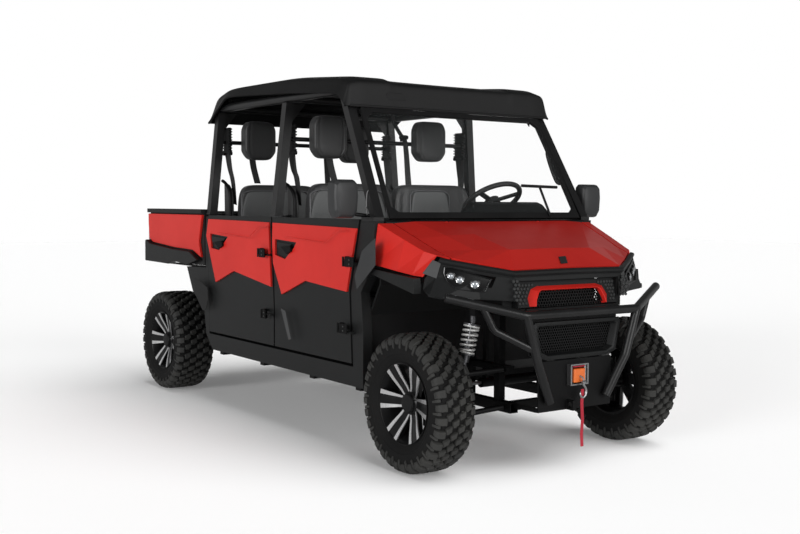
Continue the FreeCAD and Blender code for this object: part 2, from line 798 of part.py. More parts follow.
def lugs(wide):
    """Blocks on both shoulders, staggered by half a pitch, each wrapped over on to the sidewall."""
    tread = TIP - size("tread_depth")
    section = [(26, tread - 3), (26, TIP), (92, TIP), (105.5, TIP - 12), (107.4, TIP - 48)]
    section += [(100, TIP - 50), (84, tread - 3)]
    length = tread * math.tan(SECTOR)
    blocks = []
    for number in range(PITCHES):
        turn = FreeCAD.Rotation(V(1, 0, 0), 360 * number / PITCHES)
        for hand in (1, -1):
            corners = [V(hand * (x + wide), 0.06 * length * hand, r) for x, r in section]
            block_shape = facet(*corners).extrude(V(0, 0.88 * length * hand, 0))
            block_shape.Placement = FreeCAD.Placement(V(0, 0, 0), turn)
            blocks.append(block_shape)
    return blocks


for axle, width_cell, axle_place in (
    ("front", "front_tyre_width", str(FRONT_AXLE)),
    ("rear", "rear_tyre_width", str(REAR_AXLE)),
):
    width = size(width_cell)
    wide = width / 2 - 107.5
    middle = "sizes.half_width + sizes.tyre_stand_out - sizes." + width_cell + " / 2"
    place = {"x": middle, "y": axle_place, "z": "sizes.tyre_radius"}
    blank = turned_body(axle + "_rim_blank", rim_loop(wide), place)
    windows = as_feature(axle + "_rim_windows", rim_windows(wide))
    tyre = as_feature(axle + "_left_tyre", tyre_body(wide).multiFuse(lugs(wide)))
    for axis, expression in place.items():
        windows.setExpression("Placement.Base." + axis, expression)
        tyre.setExpression("Placement.Base." + axis, expression)
    rim = combined("Part::Cut", axle + "_left_rim", (blank, windows))
    twin(axle + "_right_rim", rim)
    twin(axle + "_right_tyre", tyre)

# Floor: a moulded pan with a toe board in front and the bulkhead behind.

floor_line = drawn([(335, 1120), (345, 900), (436, 740), (436, 430), (505, 371), (2225, 371), (2225, 880)])
as_feature("floor_tub", side_plate(ribbon(floor_line, -size("tub_wall")), -out(698), out(698)))

# Outer lower frames: sill, strip in front of the front door and quarter panel behind the rear door.

side_outline = [
    (402, 355),
    (402, 645),
    (425, 854),
    (318, 990),
    (298, 1222),
    (428, 1222),
    (521, 846),
    (497, 459),
    (2248, 459),
    (2248, 749),
    (2279, 1097),
    (2256, 1222),
    (2286, 1222),
    (2306, 1097),
    (2300, 888),
    (2600, 880),
    (2506, 720),
    (2327, 609),
    (2294, 450),
    (2200, 358),
    (1482, 355),
]
side_frame = side_plate(drawn(side_outline), out(700), out(756))
flare_outline = drawn([(345, 985), (318, 985), (-60, 955), (-66, 905), (-62, 880), (300, 955), (345, 940)])
front_flare = side_plate(flare_outline, out(730), out(772))
left_frame = fused([side_frame, front_flare])


# Doors: dark shells with a recess inside and coloured skins outside, four in all.

front_door = [(438, 1230), (531, 846), (507, 475), (1345, 475), (1345, 700), (1378, 1230)]
front_recess = [(500, 1190), (580, 850), (560, 515), (1305, 515), (1305, 700), (1340, 1190)]
front_skin = [
    [(541, 850), (700, 861), (850, 872), (974, 881), (1243, 787), (1346, 960)],
    [(455, 1158), (640, 1164), (752, 1106), (934, 1103), (1083, 1074), (1357, 1089)],
    [(448, 1183), (640, 1186), (760, 1188), (940, 1190), (1100, 1193), (1365, 1197)],
]
front_pocket = [(1323, 1103), (1074, 1091), (1100, 1059), (1203, 991), (1323, 1012)]
front_lever = [(1305, 1088), (1130, 1080), (1165, 1052), (1300, 1052)]
rear_door = [(1392, 1230), (1359, 700), (1359, 475), (2238, 475), (2238, 749), (2269, 1097), (2246, 1230)]
rear_recess = [(1430, 1190), (1400, 700), (1400, 515), (2195, 515), (2195, 749), (2225, 1097), (2205, 1190)]
rear_skin = [
    [(1374, 822), (1560, 848), (1640, 859), (1861, 889), (2118, 804), (2256, 1097)],
    [(1402, 1180), (1565, 1160), (1632, 1118), (1900, 1119), (2100, 1122), (2248, 1126)],
    [(1403, 1198), (1565, 1200), (1640, 1201), (1900, 1203), (2100, 1204), (2240, 1206)],
]
rear_pocket = [(2198, 1113), (1938, 1099), (1985, 1066), (2067, 1010), (2182, 1020)]
rear_lever = [(2182, 1098), (1985, 1088), (2030, 1058), (2172, 1058)]

HINGE_X = HALF + size("hinge_offset")
KNUCKLE = 18
LEAF = 10


def hinge_line(high, low):
    """The upper and lower hinge's place on a door's axis, and the axis's upward direction."""
    upper, lower = V(HINGE_X, along(high[0]), up(high[1])), V(HINGE_X, along(low[0]), up(low[1]))
    return upper, lower, (upper - lower).normalize()


def fixed_knuckle(place, way):
    """The lower knuckle of a hinge and its pin."""
    return rod(place - way * KNUCKLE, place - way * REST, 9).fuse(rod(place - way * 2, place + way * 17, 4))


def moving_knuckle(place, way, leaf_face):
    """The upper knuckle, bored for the pin, on a leaf that lies on the door."""
    leaf = block(V(leaf_face, place.y, place.z + 3), V(HINGE_X + 3, place.y + 40, place.z + KNUCKLE - 2))
    whole = rod(place, place + way * KNUCKLE, 9).fuse(leaf)
    return whole.cut(rod(place - way, place + way * (KNUCKLE + 1), 4 + size("running_gap")))


front_hinges = hinge_line((510, 1010), (563, 649))
rear_hinges = hinge_line((1461, 1019), (1420, 671))
fixed_front = []
for place, strip_edge in zip(front_hinges[:2], (480, 508)):
    foot = along(strip_edge) - 10
    low = place.z - KNUCKLE + 1
    fixed_front.append(block(V(out(750), foot - 24, low), V(HINGE_X, foot, low + 14)))
    fixed_front.append(block(V(HINGE_X - LEAF, foot - 24, low), V(HINGE_X, place.y, low + 14)))
    fixed_front.append(fixed_knuckle(place, front_hinges[2]))
as_feature("side_frames", both_sides(fused([left_frame, *fixed_front])))

fixed_rear = []
for place, gap_middle in zip(rear_hinges[:2], (1372.5, 1353)):
    low = place.z - KNUCKLE + 2
    gap_y = along(gap_middle)
    fixed_rear.append(block(V(out(655), gap_y - 1.25, low), V(out(684), gap_y + 20, low + 10)))
    fixed_rear.append(block(V(out(655), gap_y - 1.25, low), V(HINGE_X, gap_y + 1.25, low + 10)))
    fixed_rear.append(block(V(HINGE_X - LEAF, gap_y - 1.25, low), V(HINGE_X, place.y, low + 10)))
    fixed_rear.append(fixed_knuckle(place, rear_hinges[2]))


def skin_panel(rows, pocket):
    """A door's outer skin: flat below its crease, leaning in above it, with a pocket for the handle."""
    proud = size("skin_thickness")
    depths = (proud, proud, proud - size("skin_lean"))
    grid = [[V(HALF + depth, along(y), up(z)) for y, z in row] for depth, row in zip(depths, rows)]
    panel = grid_panel(grid, 2 * proud)
    panel = panel.common(block(V(HALF, FRONT_AXLE, 0), V(HALF + 2 * proud, REAR_AXLE, up(1500))))
    return panel.cut(side_plate(drawn(pocket), HALF - 1, HALF + 2 * proud))


for name, outline, recess, skin, hinges, pocket_outline, lever in (
    ("front", front_door, front_recess, front_skin, front_hinges, front_pocket, front_lever),
    ("rear", rear_door, rear_recess, rear_skin, rear_hinges, rear_pocket, rear_lever),
):
    label = name + "_left_door_shell"
    inner_face = "sizes.half_width - sizes.door_thickness"
    shell, pad = padded_body(label, [drawn(outline)], "sizes.door_thickness", inner_face)
    doc.recompute()
    solid_volume = pad.Shape.Volume
    depth = "sizes.door_thickness - sizes.door_wall"
    pocket = pocket_in(shell, label + "_recess", [drawn(recess)], depth, True)
    doc.recompute()
    assert pocket.Shape.Volume < 0.5 * solid_volume, label
    lower_hinge = as_feature(label + "_hinge", moving_knuckle(hinges[1], hinges[2], HALF))
    handle = as_feature(label + "_handle", side_plate(drawn(lever), HALF, HALF + size("skin_thickness") - 3))
    door = combined("Part::MultiFuse", name + "_left_door", [shell, lower_hinge, handle])
    twin(name + "_right_door", door)
    plate = fused([skin_panel(skin, pocket_outline), moving_knuckle(hinges[0], hinges[2], HALF + 2)])
    as_feature(name + "_left_door_skin", plate)
    as_feature(name + "_right_door_skin", mirrored(plate))

# Nose: hood, fenders and fascia are moulded panels with flat facets.

wall = size("panel_wall")


def grid_at(rows):
    return [[at(*point) for point in row] for row in rows]


hood_rows = [
    [(0, -325, 1002), (361, -311, 999), (500, -217, 1029), (600, -141, 1052)],
    [(0, -190, 1092), (272, -180, 1088), (440, -110, 1086), (612, -40, 1084)],
    [(0, 60, 1160), (305, 60, 1159), (480, 70, 1154), (632, 90, 1138)],
    [(0, 276, 1218), (355, 276, 1220), (520, 276, 1221), (652, 276, 1212)],
]
hood = grid_panel([mirror_row(row) for row in grid_at(hood_rows)], wall)
HOOD_AXIS = at(0, 276, 1214)
hood_pins = []
for x in (-320, 320):
    notch = block(HOOD_AXIS + V(x - 18, -14, -30), HOOD_AXIS + V(x + 18, 30, 30))
    tongue = block(HOOD_AXIS + V(x - 7, -16, -5), HOOD_AXIS + V(x + 7, 0, 2))
    barrel = rod(HOOD_AXIS + V(x - 7, 0, 0), HOOD_AXIS + V(x + 7, 0, 0), 6)
    bore = rod(HOOD_AXIS + V(x - 8, 0, 0), HOOD_AXIS + V(x + 8, 0, 0), 3 + size("running_gap"))
    hood = fused([hood.cut(notch), tongue, barrel]).cut(bore)
    hood_pins.append(rod(HOOD_AXIS + V(x - 14, 0, 0), HOOD_AXIS + V(x + 14, 0, 0), 3))
    for side in (-11, 11):
        hood_pins.append(block(HOOD_AXIS + V(x + side - 3, -5, -5), HOOD_AXIS + V(x + side + 3, 16, 5)))
as_feature("hood", hood)

fender_rows = [
    [(609, -136, 1053), (662, -96, 1066), (722, -62, 962)],
    [(621, -38, 1085), (690, -30, 1083), (738, 0, 966)],
    [(641, 92, 1139), (712, 100, 1134), (752, 110, 980)],
    [(661, 276, 1213), (740, 296.2, 1212), (758, 313.2, 1004)],
]
as_feature("fenders", both_sides(grid_panel(grid_at(fender_rows), wall)))

fascia_rows = [
    [(0, -331, 991), (361, -318, 987), (506, -222, 1016), (655, -113, 1048), (716, -75, 950)],
    [(0, -342, 930), (361, -328, 926), (515, -225, 946), (682, -122, 962), (722, -70, 900)],
    [(0, -352, 845), (345, -338, 845), (505, -240, 856), (690, -166, 862), (728, -130, 880)],
]
fascia = grid_panel([mirror_row(row) for row in reversed(grid_at(fascia_rows))], wall)

# Grilles: a honeycomb that leans back in the fascia's opening under a coloured frame, and a framed one below.

mouth = [(-337, 812), (337, 812), (337, 944), (-337, 944)]
mouth_cut = plane_plate([(out(x), up(z)) for x, z in mouth], [], 200)
fascia = fascia.cut(mouth_cut.translated(V(0, along(-440), 0)))
mouth_half = out(337) - REST
mouth_low = up(812)
mouth_high = up(944) - REST
hood_out = block(V(-mouth_half, along(-326), mouth_low), V(mouth_half, along(-284), mouth_high))
hood_in = block(V(9 - mouth_half, along(-340), mouth_low - 1), V(mouth_half - 9, along(-270), mouth_high - 9))
LEAN = FreeCAD.Placement(V(0, along(-321), mouth_low), FreeCAD.Rotation(V(1, 0, 0), -12))
mesh_top = (mouth_high - mouth_low) / math.cos(math.radians(12)) - 6
mesh_half = mouth_half - 5
mesh_outline = [(-mesh_half, 0), (mesh_half, 0), (mesh_half, mesh_top), (-mesh_half, mesh_top)]
upper_mesh = honeycomb(mesh_outline, size("upper_cell"), size("cell_bar"), 9)
upper_mesh.Placement = LEAN
upper_unit = fused([hood_out.cut(hood_in), upper_mesh])

frame_ring = [(-264, 555), (264, 555), (298, 736), (-298, 736)]
window = [(-208, 584), (208, 584), (238, 610), (256, 700), (244, 712), (-244, 712), (-256, 700), (-238, 610)]
frame_ring = [(out(x), up(z)) for x, z in frame_ring]
window = [(out(x), up(z)) for x, z in window]
lower_frame = plane_plate(frame_ring, [window], 36)
lower_frame.translate(V(0, along(-349) - 36 - REST, 0))
lower_outline = [(x * 1.02, z + (3 if z > up(650) else -3)) for x, z in window]
lower_mesh = honeycomb(lower_outline, size("lower_cell"), size("cell_bar"), 10)
lower_mesh.translate(V(0, along(-349) - 20, 0))
lower_unit = fused([lower_frame, lower_mesh])
shroud = block(at(-300, -349, 545), at(300, -336, 806))
as_feature("grille", Part.makeCompound([upper_unit, lower_unit, shroud]))

trim_line = [(-250, 2), (-258, 38), (-222, 92), (222, 92), (258, 38), (250, 2)]
trim_line += [(210, 2), (222, 32), (197, 70), (-197, 70), (-222, 32), (-210, 2)]
trim = plane_plate(trim_line, [], 24).translated(V(0, -24 - REST, 0))
trim.Placement = LEAN.multiply(trim.Placement)
as_feature("grille_trim", trim)

lamp_face = [at(440, -284, 968), at(620, -152, 1006), at(590, -174, 905), at(460, -270, 912)]
lamp_normal = (lamp_face[1] - lamp_face[0]).cross(lamp_face[2] - lamp_face[0]).normalize()
lamp_face[3] += lamp_normal * (lamp_face[0] - lamp_face[3]).dot(lamp_normal)
lamp_back = [corner + V(-20, 30, 0) for corner in lamp_face]
lamp_middle = (lamp_face[0] + lamp_face[1] + lamp_face[2] + lamp_face[3]) / 4


def grown(ring, factor):
    return [corner + (corner - lamp_middle) * factor for corner in ring]


lamp_hole = between_rings(grown(lamp_face, 0.006), grown(lamp_back, 0.006))
fascia = fascia.cut(lamp_hole).cut(mirrored(lamp_hole))
as_feature("fascia", fascia)
as_feature("headlamps", both_sides(between_rings(lamp_face, lamp_back)))

# Bumper: a bent top tube with upswept ends, a loop down to the skid plate and a lower tube on each side.

bumper_radius = size("bumper_radius")
wing_tip = at(717, -240, 873)
tube_corner = at(372, -423, 785)
top_tube = bent_tube(
    [wing_tip, tube_corner, opposite(tube_corner), opposite(wing_tip)],
    bumper_radius,
    70,
)
loop_left = bent_tube([tube_corner, at(297, -423, 554), at(190, -394.3, 350)], bumper_radius, 80)
wing_left = bent_tube([at(560, -322, 834), at(500, -340, 715), at(316, -420, 615)], bumper_radius * 0.8, 50)
bumper = [top_tube, loop_left, mirrored(loop_left), wing_left, mirrored(wing_left)]
as_feature("bumper", fused(bumper))

plate_face = block(at(-245, -372, 300), at(245, -362, 548)).cut(block(at(-55, -380, 425), at(55, -350, 495)))
brackets = []
for x in (-rail_half + 5, rail_half - 5):
    brackets.append(block(V(x - 5, along(-362) + REST, up(300)), V(x + 5, along(-200), rail_top)))

tow_ear = block(V(-60, along(-420), up(300)), V(-44, along(-372), up(350)))
tow_hole = rod(V(-61, along(-398), up(325)), V(-43, along(-398), up(325)), size("tow_eye_radius"))
as_feature("skid_plate", Part.makeCompound([fused([plate_face, tow_ear.cut(tow_hole)]), *brackets]))

hook = fused([rod(at(0, -340, 460), at(0, -420, 460), 5), rod(at(0, -412, 462), at(0, -425, 440), 8)])
drum = rod(at(-110, -310, 460), at(110, -310, 460), 38)
ends = [block(at(x - 18, -361.7, 412), at(x + 18, -262, 508)) for x in (-128, 128)]
winch = fused([drum, *ends, hook, rod(at(0, -424, 446), at(0, -424, 404), 8)])

fairlead_frame = block(at(-70, -400, 412), at(70, -372.3, 508))
fairlead_frame = fairlead_frame.cut(block(at(-52, -410, 428), at(52, -360, 492)))
rollers = [rod(at(x, -386, 424), at(x, -386, 496), 9) for x in (-42, 42)]
rollers += [rod(at(-60, -386, z), at(60, -386, z), 9) for z in (434, 486)]
fairlead = fused([fairlead_frame, *rollers])

as_feature("winch", Part.makeCompound([winch, fairlead]))
strap_line = drawn([(-424, 403), (-421, 330), (-427, 250), (-422, 180), (-426, 118)])
as_feature("hook_strap", side_plate(ribbon(strap_line, 3), -9, 9))

# Cowl, dash and steering.

cowl = drawn([(290, 1150), (290, 1222), (300, 1226), (420, 1236), (420, 1220), (304, 1150)])
cowl = side_plate(cowl, -out(690), out(690))
dash_line = drawn([(416, 1234), (556, 1318), (588, 1296), (576, 1130), (470, 1060)])
dash = side_plate(ribbon(dash_line, -12), -out(655), out(655))

lean = math.radians(size("column_lean"))
column_way = V(0, math.sin(lean), math.cos(lean))
hub_place = at(340, 700, 1330)
column_foot = hub_place - column_way * 330
column_head = hub_place - column_way * (27 + REST)
column = rod(column_foot, column_head, 28)
as_feature("dash", fused([cowl, dash, column, *hood_pins]))

wheel_turn = FreeCAD.Rotation(V(0, 0, 1), column_way)
grip = primitive(
    "Part::Torus",
    "steering_grip",
    hub_place,
    wheel_turn,
    Radius1="sizes.steering_wheel_radius",
    Radius2="sizes.grip_radius",
)
wheel_hub = primitive(
    "Part::Cylinder", "steering_hub", hub_place - column_way * 27, wheel_turn, Radius="45", Height="35"
)
spokes = []
for number, angle in enumerate((0, 120, 240)):
    turn = wheel_turn.multiply(FreeCAD.Rotation(V(0, 0, 1), angle + 90))
    corner = hub_place + turn.multVec(V(20, -14, -8))
    spokes.append(
        primitive(
            "Part::Box",
            f"steering_spoke_{number}",
            corner,
            turn,
            Length="sizes.steering_wheel_radius - 22",
            Width="28",
            Height="12",
        )
    )
combined("Part::MultiFuse", "steering_wheel", [grip, wheel_hub, *spokes])

# Windshield: one flat pane between the front pillars, in a gasket, with a wiper in front.


def screen_point(x, share, forward=0.0):
    """A point on the windshield's plane: share runs from foot to head, forward stands off its face."""
    foot, head = at(x, 304, 1241), at(x, 636, 1820)
    slope = (head - foot).normalize()
    return foot + (head - foot) * share + V(0, -slope.z, slope.y) * forward


def screen_plate(rings, front, back):
    """A plate parallel to the windshield."""
    outline = [screen_point(x, share, front) for x, share in rings]
    behind = [screen_point(x, share, back) for x, share in rings]
    loops = [Part.makePolygon([*ring, ring[0]]) for ring in (outline, behind)]
    return Part.makeLoft(loops, True, True)


glass = size("glass_thickness")
gasket_outer = [(-660, -0.0118), (660, -0.0118), (628, 1.0), (-628, 1.0)]
gasket_inner = [(596, 0.04), (636, 0.09), (609, 0.9), (562, 0.96)]
gasket_inner = [(-x, share) for x, share in gasket_inner] + gasket_inner[::-1]
pane_outline = [(x - math.copysign(0.5, x), 0.5 + (share - 0.5) * 0.9985) for x, share in gasket_inner]
as_feature("windshield", screen_plate(pane_outline, 0, -glass))
gasket = screen_plate(gasket_outer, 8, -13).cut(screen_plate(gasket_inner, 20, -30))
as_feature("windshield_gasket", gasket)
wiper_arm = rod(screen_point(430, 0.0, 15.3), screen_point(430, 0.29, 15.3), 7)
wiper_blade = rod(screen_point(296, 0.29, 17), screen_point(560, 0.28, 17), 8.5)
as_feature("wiper", fused([wiper_arm, wiper_blade]))

mirror_head = softened(block(at(792, 408, 1246), at(938, 488, 1432)), V(0, 1, 0), 34, 16)
mirror_foot = rod(at(728, 400, 1242) + V(0, 0, REST), at(728, 400, 1252), 16)
mirror_stay = rod(at(728, 400, 1248), at(805, 430, 1330), 9)
as_feature("mirrors", both_sides(fused([mirror_head, mirror_stay, mirror_foot])))

# Roof: one moulded shell with a turned-down visor and raised sides.

ROOF_ACROSS = (0, 400, 440, 615, 690, 726)
roof_rows = []
for behind, above in (
    ((632, 632, 632, 632, 636, 640), (1834, 1834, 1834, 1832, 1830, 1828)),
    ((642, 642, 640, 646, 652, 662), (1962, 1964, 1970, 1970, 1957, 1852)),
    ((715, 715, 712, 720, 726, 735), (1984, 1986, 1998, 1998, 1982, 1903)),
    ((1300, 1300, 1300, 1300, 1300, 1300), (2024, 2027, 2041, 2043, 2026, 1944)),
    ((2060, 2060, 2060, 2060, 2060, 2060), (2026, 2030, 2044, 2045, 2034, 1985)),
    ((2260, 2260, 2258, 2260, 2255, 2200), (1988, 1990, 2000, 2003, 1990, 1900)),
    ((2378, 2378, 2378, 2376, 2368, 2325), (1838, 1838, 1838, 1838, 1836, 1832)),
):
    roof_rows.append(list(zip(ROOF_ACROSS, behind, above)))
roof = grid_panel([mirror_row(row) for row in grid_at(roof_rows)], size("roof_wall"))
as_feature("roof", roof)

# Cage: square pillars, round roof rails, cross bars and headrest bars.

cage_radius = size("cage_radius")
pillar = size("pillar_width")
rail_z = up(1922) - cage_radius
rail_front = at(664, 722, 1900)
rail_front.z = rail_z
rail_rear = at(664, 2256, 1900)
rail_rear.z = rail_z
pillar_feet = [at(716, 338, 1240), at(727, 1382, 1240), at(727, 2262, 1240)]
pillar_heads = [V(rail_front), at(664, 1357, 1900), V(rail_rear)]
for head in pillar_heads:
    head.z = rail_z
pillars = [tapered_bar(foot, head, pillar, pillar) for foot, head in zip(pillar_feet, pillar_heads)]

lift = cage_radius + REST
roof_rail = rod(rail_front + V(0, -20, lift), rail_rear + V(0, 10, lift), cage_radius)
sleeve = rod(rail_front + V(0, -60, lift), rail_rear + V(0, 60, lift), cage_radius + REST)
lowered_roof = roof.translated(V(0, 0, -REST))
coped = []
for head in pillar_heads:
    end = head + V(0, 0, cage_radius + REST)
    start = V(-end.x, end.y, end.z)
    bar = rod(start, end, cage_radius * 0.8).cut(sleeve).cut(mirrored(sleeve))
    coped += [piece for piece in bar.Solids if abs(piece.CenterOfMass.x) < 10]
    for x in (-600, 600):
        riser = block(V(x - 12, head.y - 10, end.z), V(x + 12, head.y + 10, up(2045)))
        riser = riser.cut(rod(start, end, cage_radius * 0.8 + REST)).cut(lowered_roof)
        coped.append(min(riser.Solids, key=lambda piece: piece.BoundBox.ZMin))
cage_rails = [roof_rail, mirrored(roof_rail), *coped]

bar_y = {"front": 1368, "rear": 2257}
bar_z = {"front": 1688, "rear": 1705}
head_bars = []
for row in ("front", "rear"):
    foot, head = (pillar_feet[1], pillar_heads[1]) if row == "front" else (pillar_feet[2], pillar_heads[2])
    share = (up(bar_z[row] + 14) - foot.z) / (head.z - foot.z)
    end = V(foot.x + (head.x - foot.x) * share - pillar / 2 - REST, along(bar_y[row]), up(bar_z[row]))
    head_bars.append(rod(V(-end.x, end.y, end.z), end, 13))
as_feature("cage_rails", Part.makeCompound([*cage_rails, *head_bars]))

floor_top = up(371)
posts = []
for y in (338, 1382, 2262):
    foot = at(650, y, 1232)
    posts.append(block(V(out(646), foot.y - 20, floor_top + REST), V(out(646) + 40, foot.y + 20, up(1236))))
    posts.append(block(V(out(646), foot.y - 26, up(1236)), V(out(755), foot.y + 26, up(1242))))
front_foot_plate = block(at(690, 312, 1222) + V(0, 0, REST), at(755, 425, 1242))
posts[0:2] = [front_foot_plate]
gussets = []
for head in pillar_heads:
    corner = V(head.x - 20, head.y - 4, rail_z - 2)
    face = facet(corner, corner - V(0, 0, 112), corner - V(92, 0, 0))
    gussets.append(face.extrude(V(0, 8, 0)))
left_posts = [
    fused([posts[0], pillars[0], gussets[0]]),
    fused([*posts[1:3], pillars[1], gussets[1], *fixed_rear]),
    fused([*posts[3:5], pillars[2], gussets[2]]),
]
as_feature("cage_pillars", both_sides(Part.makeCompound(left_posts)))

# Seats: hollow boxes under two benches, with backs, headrests and belts.

tub = size("tub_wall")
boxes = []
cushions = []
backs = []
heads = []
for start, seat_z in ((760, 620), (1640, 640)):
    low = V(-out(590), along(start), floor_top + REST)
    high = V(out(590), along(start + 440), up(seat_z))
    hollow = block(low + V(tub, tub, -1), high - V(tub, tub, tub))
    boxes.append(block(low, high).cut(hollow))
    cushion_low = V(-out(600), along(start - 30), up(seat_z) + REST)
    cushion = block(cushion_low, V(out(600), along(start + 400), up(seat_z + 140)))
    cushions.append(softened(cushion, V(1, 0, 0), 30, 16))
    back_outline = drawn([(start + 401, 0), (start + 480, 1420), (start + 550, 1420), (start + 475, 0)])
    back_outline[0] = (back_outline[0][0], up(seat_z) + REST)
    back_outline[3] = (back_outline[3][0], up(seat_z) + REST)
    back = side_plate(back_outline, -out(600), out(600))
    backs.append(softened(back, V(1, 0, 0), 24, 16))
as_feature("seat_boxes", Part.makeCompound(boxes))
as_feature("seats", Part.makeCompound([*cushions, *backs]))
for row in ("front", "rear"):
    back_face = bar_y[row] - 13 - REST
    for x in (-420, 320):
        z = bar_z[row] + 15
        head = block(at(x - 102, back_face - 88, z - 127), at(x + 102, back_face, z + 127))
        heads.append(softened(head, V(0, 1, 0), 42, 14))
as_feature("headrests", Part.makeCompound(heads))

belts = []
for dy, top, pillar_number in ((0, 1760, 1), (880, 1800, 2)):
    foot, head = pillar_feet[pillar_number], pillar_heads[pillar_number]
    share = (up(top) - foot.z) / (head.z - foot.z)
    inner_face = foot.x + (head.x - foot.x) * share - pillar / 2 - REST
    anchor_low = V(inner_face - 46, along(1349 + dy), up(top - 30))
    anchor = block(anchor_low, V(inner_face, along(1370 + dy), up(top)))
    strap = side_plate(
        drawn([(1325 + dy, 1400), (1352 + dy, top), (1355 + dy, top), (1328 + dy, 1400)]),
        inner_face - 47,
        inner_face - 4,
    )
    belts.append(fused([strap, anchor]))
as_feature("seat_belts", both_sides(Part.makeCompound(belts)))

# Bed: a tipping tub with coloured sides, flares, rails and a tailgate.

bed_wall = size("bed_wall")
bed_half = HALF - 6
bed_low = BED_REST + REST
bed_front = along(2322)
bed_back = along(3236)
bed_top = up(1240)
tub_shape = block(V(-bed_half, bed_front, bed_low + 34), V(bed_half, bed_back, bed_top))
tub_shape = tub_shape.fuse(block(V(-500, bed_front, bed_low), V(500, bed_back, bed_low + 60)))
cavity = block(
    V(-bed_half + bed_wall, bed_front + bed_wall, bed_low + 34 + size("bed_floor")),
    V(bed_half - bed_wall, bed_back + 1, bed_top + 1),
)
tub_shape = tub_shape.cut(cavity)
bed_ears = []
for x in (-rail_half, rail_half):
    for side in (-14, 14):
        ear_low = V(x + side - 4, BED_PIVOT.y - 13, BED_PIVOT.z - 12)
        bed_ears.append(block(ear_low, V(x + side + 4, BED_PIVOT.y + 13, bed_low + 40)))
    bed_ears.append(rod(V(x - 18, BED_PIVOT.y, BED_PIVOT.z), V(x + 18, BED_PIVOT.y, BED_PIVOT.z), 6))
GATE_PIVOT = V(0, bed_back + 21, bed_low + 66)
for x in (-606, 606):
    inward = -1 if x > 0 else 1
    bed_ears.append(block(GATE_PIVOT + V(x - 6, -24, -14), GATE_PIVOT + V(x + 6, 8, 8)))
    bed_ears.append(rod(GATE_PIVOT + V(x, 0, 0), GATE_PIVOT + V(x + inward * 34, 0, 0), 5))

bed_side = [
    (2322, 1232),
    (2373, 1053),
    (2340, 953),
    (2469, 997),
    (2769, 1004),
    (3151, 1029),
    (3213, 1056),
    (3230, 1157),
    (3232, 1232),
]
as_feature("bed_sides", both_sides(side_plate(drawn(bed_side), bed_half + REST, HALF + 14)))
rear_flare = [
    (2345, 935),
    (2470, 905),
    (2510, 897),
    (2711, 910),
    (2792, 900),
    (2827, 888),
    (3236, 893),
    (3236, 1040),
    (3218, 1046),
    (3151, 1019),
    (2769, 994),
    (2469, 987),
]
as_feature("bed_flares", both_sides(side_plate(drawn(rear_flare), bed_half + REST, HALF + 40)))
bed_rail = block(V(bed_half - bed_wall, bed_front, bed_top), V(HALF + 20, bed_back, bed_top + 28))
as_feature("bed_tub", fused([tub_shape, bed_rail, mirrored(bed_rail), *bed_ears]))
lamp_low = V(bed_half - bed_wall + 2, bed_back, up(1030))
as_feature("tail_lamps", both_sides(block(lamp_low, V(bed_half + 10, bed_back + 18, up(1180)))))

tailgate_low = bed_low + 66
tailgate = block(
    V(-bed_half + bed_wall + 4, bed_back + 6, tailgate_low),
    V(bed_half - bed_wall - 4, bed_back + 36, bed_top + 10),
)
for x in (-606, 606):
    inward = -1 if x > 0 else 1
    notch = block(GATE_PIVOT + V(x - 12, -30, -1), GATE_PIVOT + V(x + 12, 30, 16))
    barrel = rod(GATE_PIVOT + V(x + inward * 12, 0, 0), GATE_PIVOT + V(x + inward * 40, 0, 0), 9)
    bore_start = GATE_PIVOT + V(x + inward * 11, 0, 0)
    bore = rod(bore_start, bore_start + V(inward * 30, 0, 0), 5 + size("running_gap"))
    tailgate = fused([tailgate.cut(notch), barrel]).cut(bore)
for low_x, high_x in ((-560, -200), (-170, 170), (200, 560)):
    corner = V(low_x, bed_back + 29, tailgate_low + 45)
    tailgate = tailgate.cut(block(corner, V(high_x, bed_back + 40, bed_top - 55)))
as_feature("tailgate", tailgate)

# Hitch: a square receiver under the tail, with a cross hole for its pin.

bore = size("receiver_bore")
shell_side = bore + 2 * size("receiver_wall")
receiver_back = REAR_END
receiver_front = along(3120) + REST
receiver_z = (rail_low + rail_top) / 2
receiver = block(
    V(-shell_side / 2, receiver_front, receiver_z - shell_side / 2),
    V(shell_side / 2, receiver_back, receiver_z + shell_side / 2),
)
socket = block(
    V(-bore / 2, receiver_front - 1, receiver_z - bore / 2),
    V(bore / 2, receiver_back + 1, receiver_z + bore / 2),
)
PIN_PLACE = V(0, receiver_back - size("hitch_pin_setback"), receiver_z)
pin_hole = rod(PIN_PLACE - V(shell_side, 0, 0), PIN_PLACE + V(shell_side, 0, 0), size("hitch_pin_radius"))
as_feature("hitch_receiver", receiver.cut(socket).cut(pin_hole))

doc.recompute()

# Every object is checked, then each sub-part is written to its own file.

NODES = [
    "frame",
    "subframes",
    "battery_pack",
    "drive_unit",
    "suspension_arms",
    "shocks",
    "rear_axles",
    "hitch_receiver",
    "floor_tub",
    "side_frames",
    "fenders",
    "fascia",
    "grille",
    "grille_trim",
    "headlamps",
    "bumper",
    "skid_plate",
    "winch",
    "hook_strap",
    "dash",
    "windshield",
    "windshield_gasket",
    "wiper",
    "mirrors",
    "cage_pillars",
    "cage_rails",
    "roof",
    "seat_boxes",
    "seats",
    "headrests",
    "seat_belts",
    "hood",
    "steering_rack",
    "steering_wheel",
    "bed_tub",
    "bed_sides",
    "bed_flares",
    "tail_lamps",
    "tailgate",
]
NODES += [f"front_{side}_knuckle" for side in ("left", "right")]
for end in ("front", "rear"):
    for side in ("left", "right"):
        NODES += [f"{end}_{side}_{name}" for name in ("rim", "tyre", "door", "door_skin")]

for item in doc.Objects:
    if "Invalid" in item.State or "Error" in item.State:
        raise RuntimeError(f"{item.Label} did not build: {item.State}")

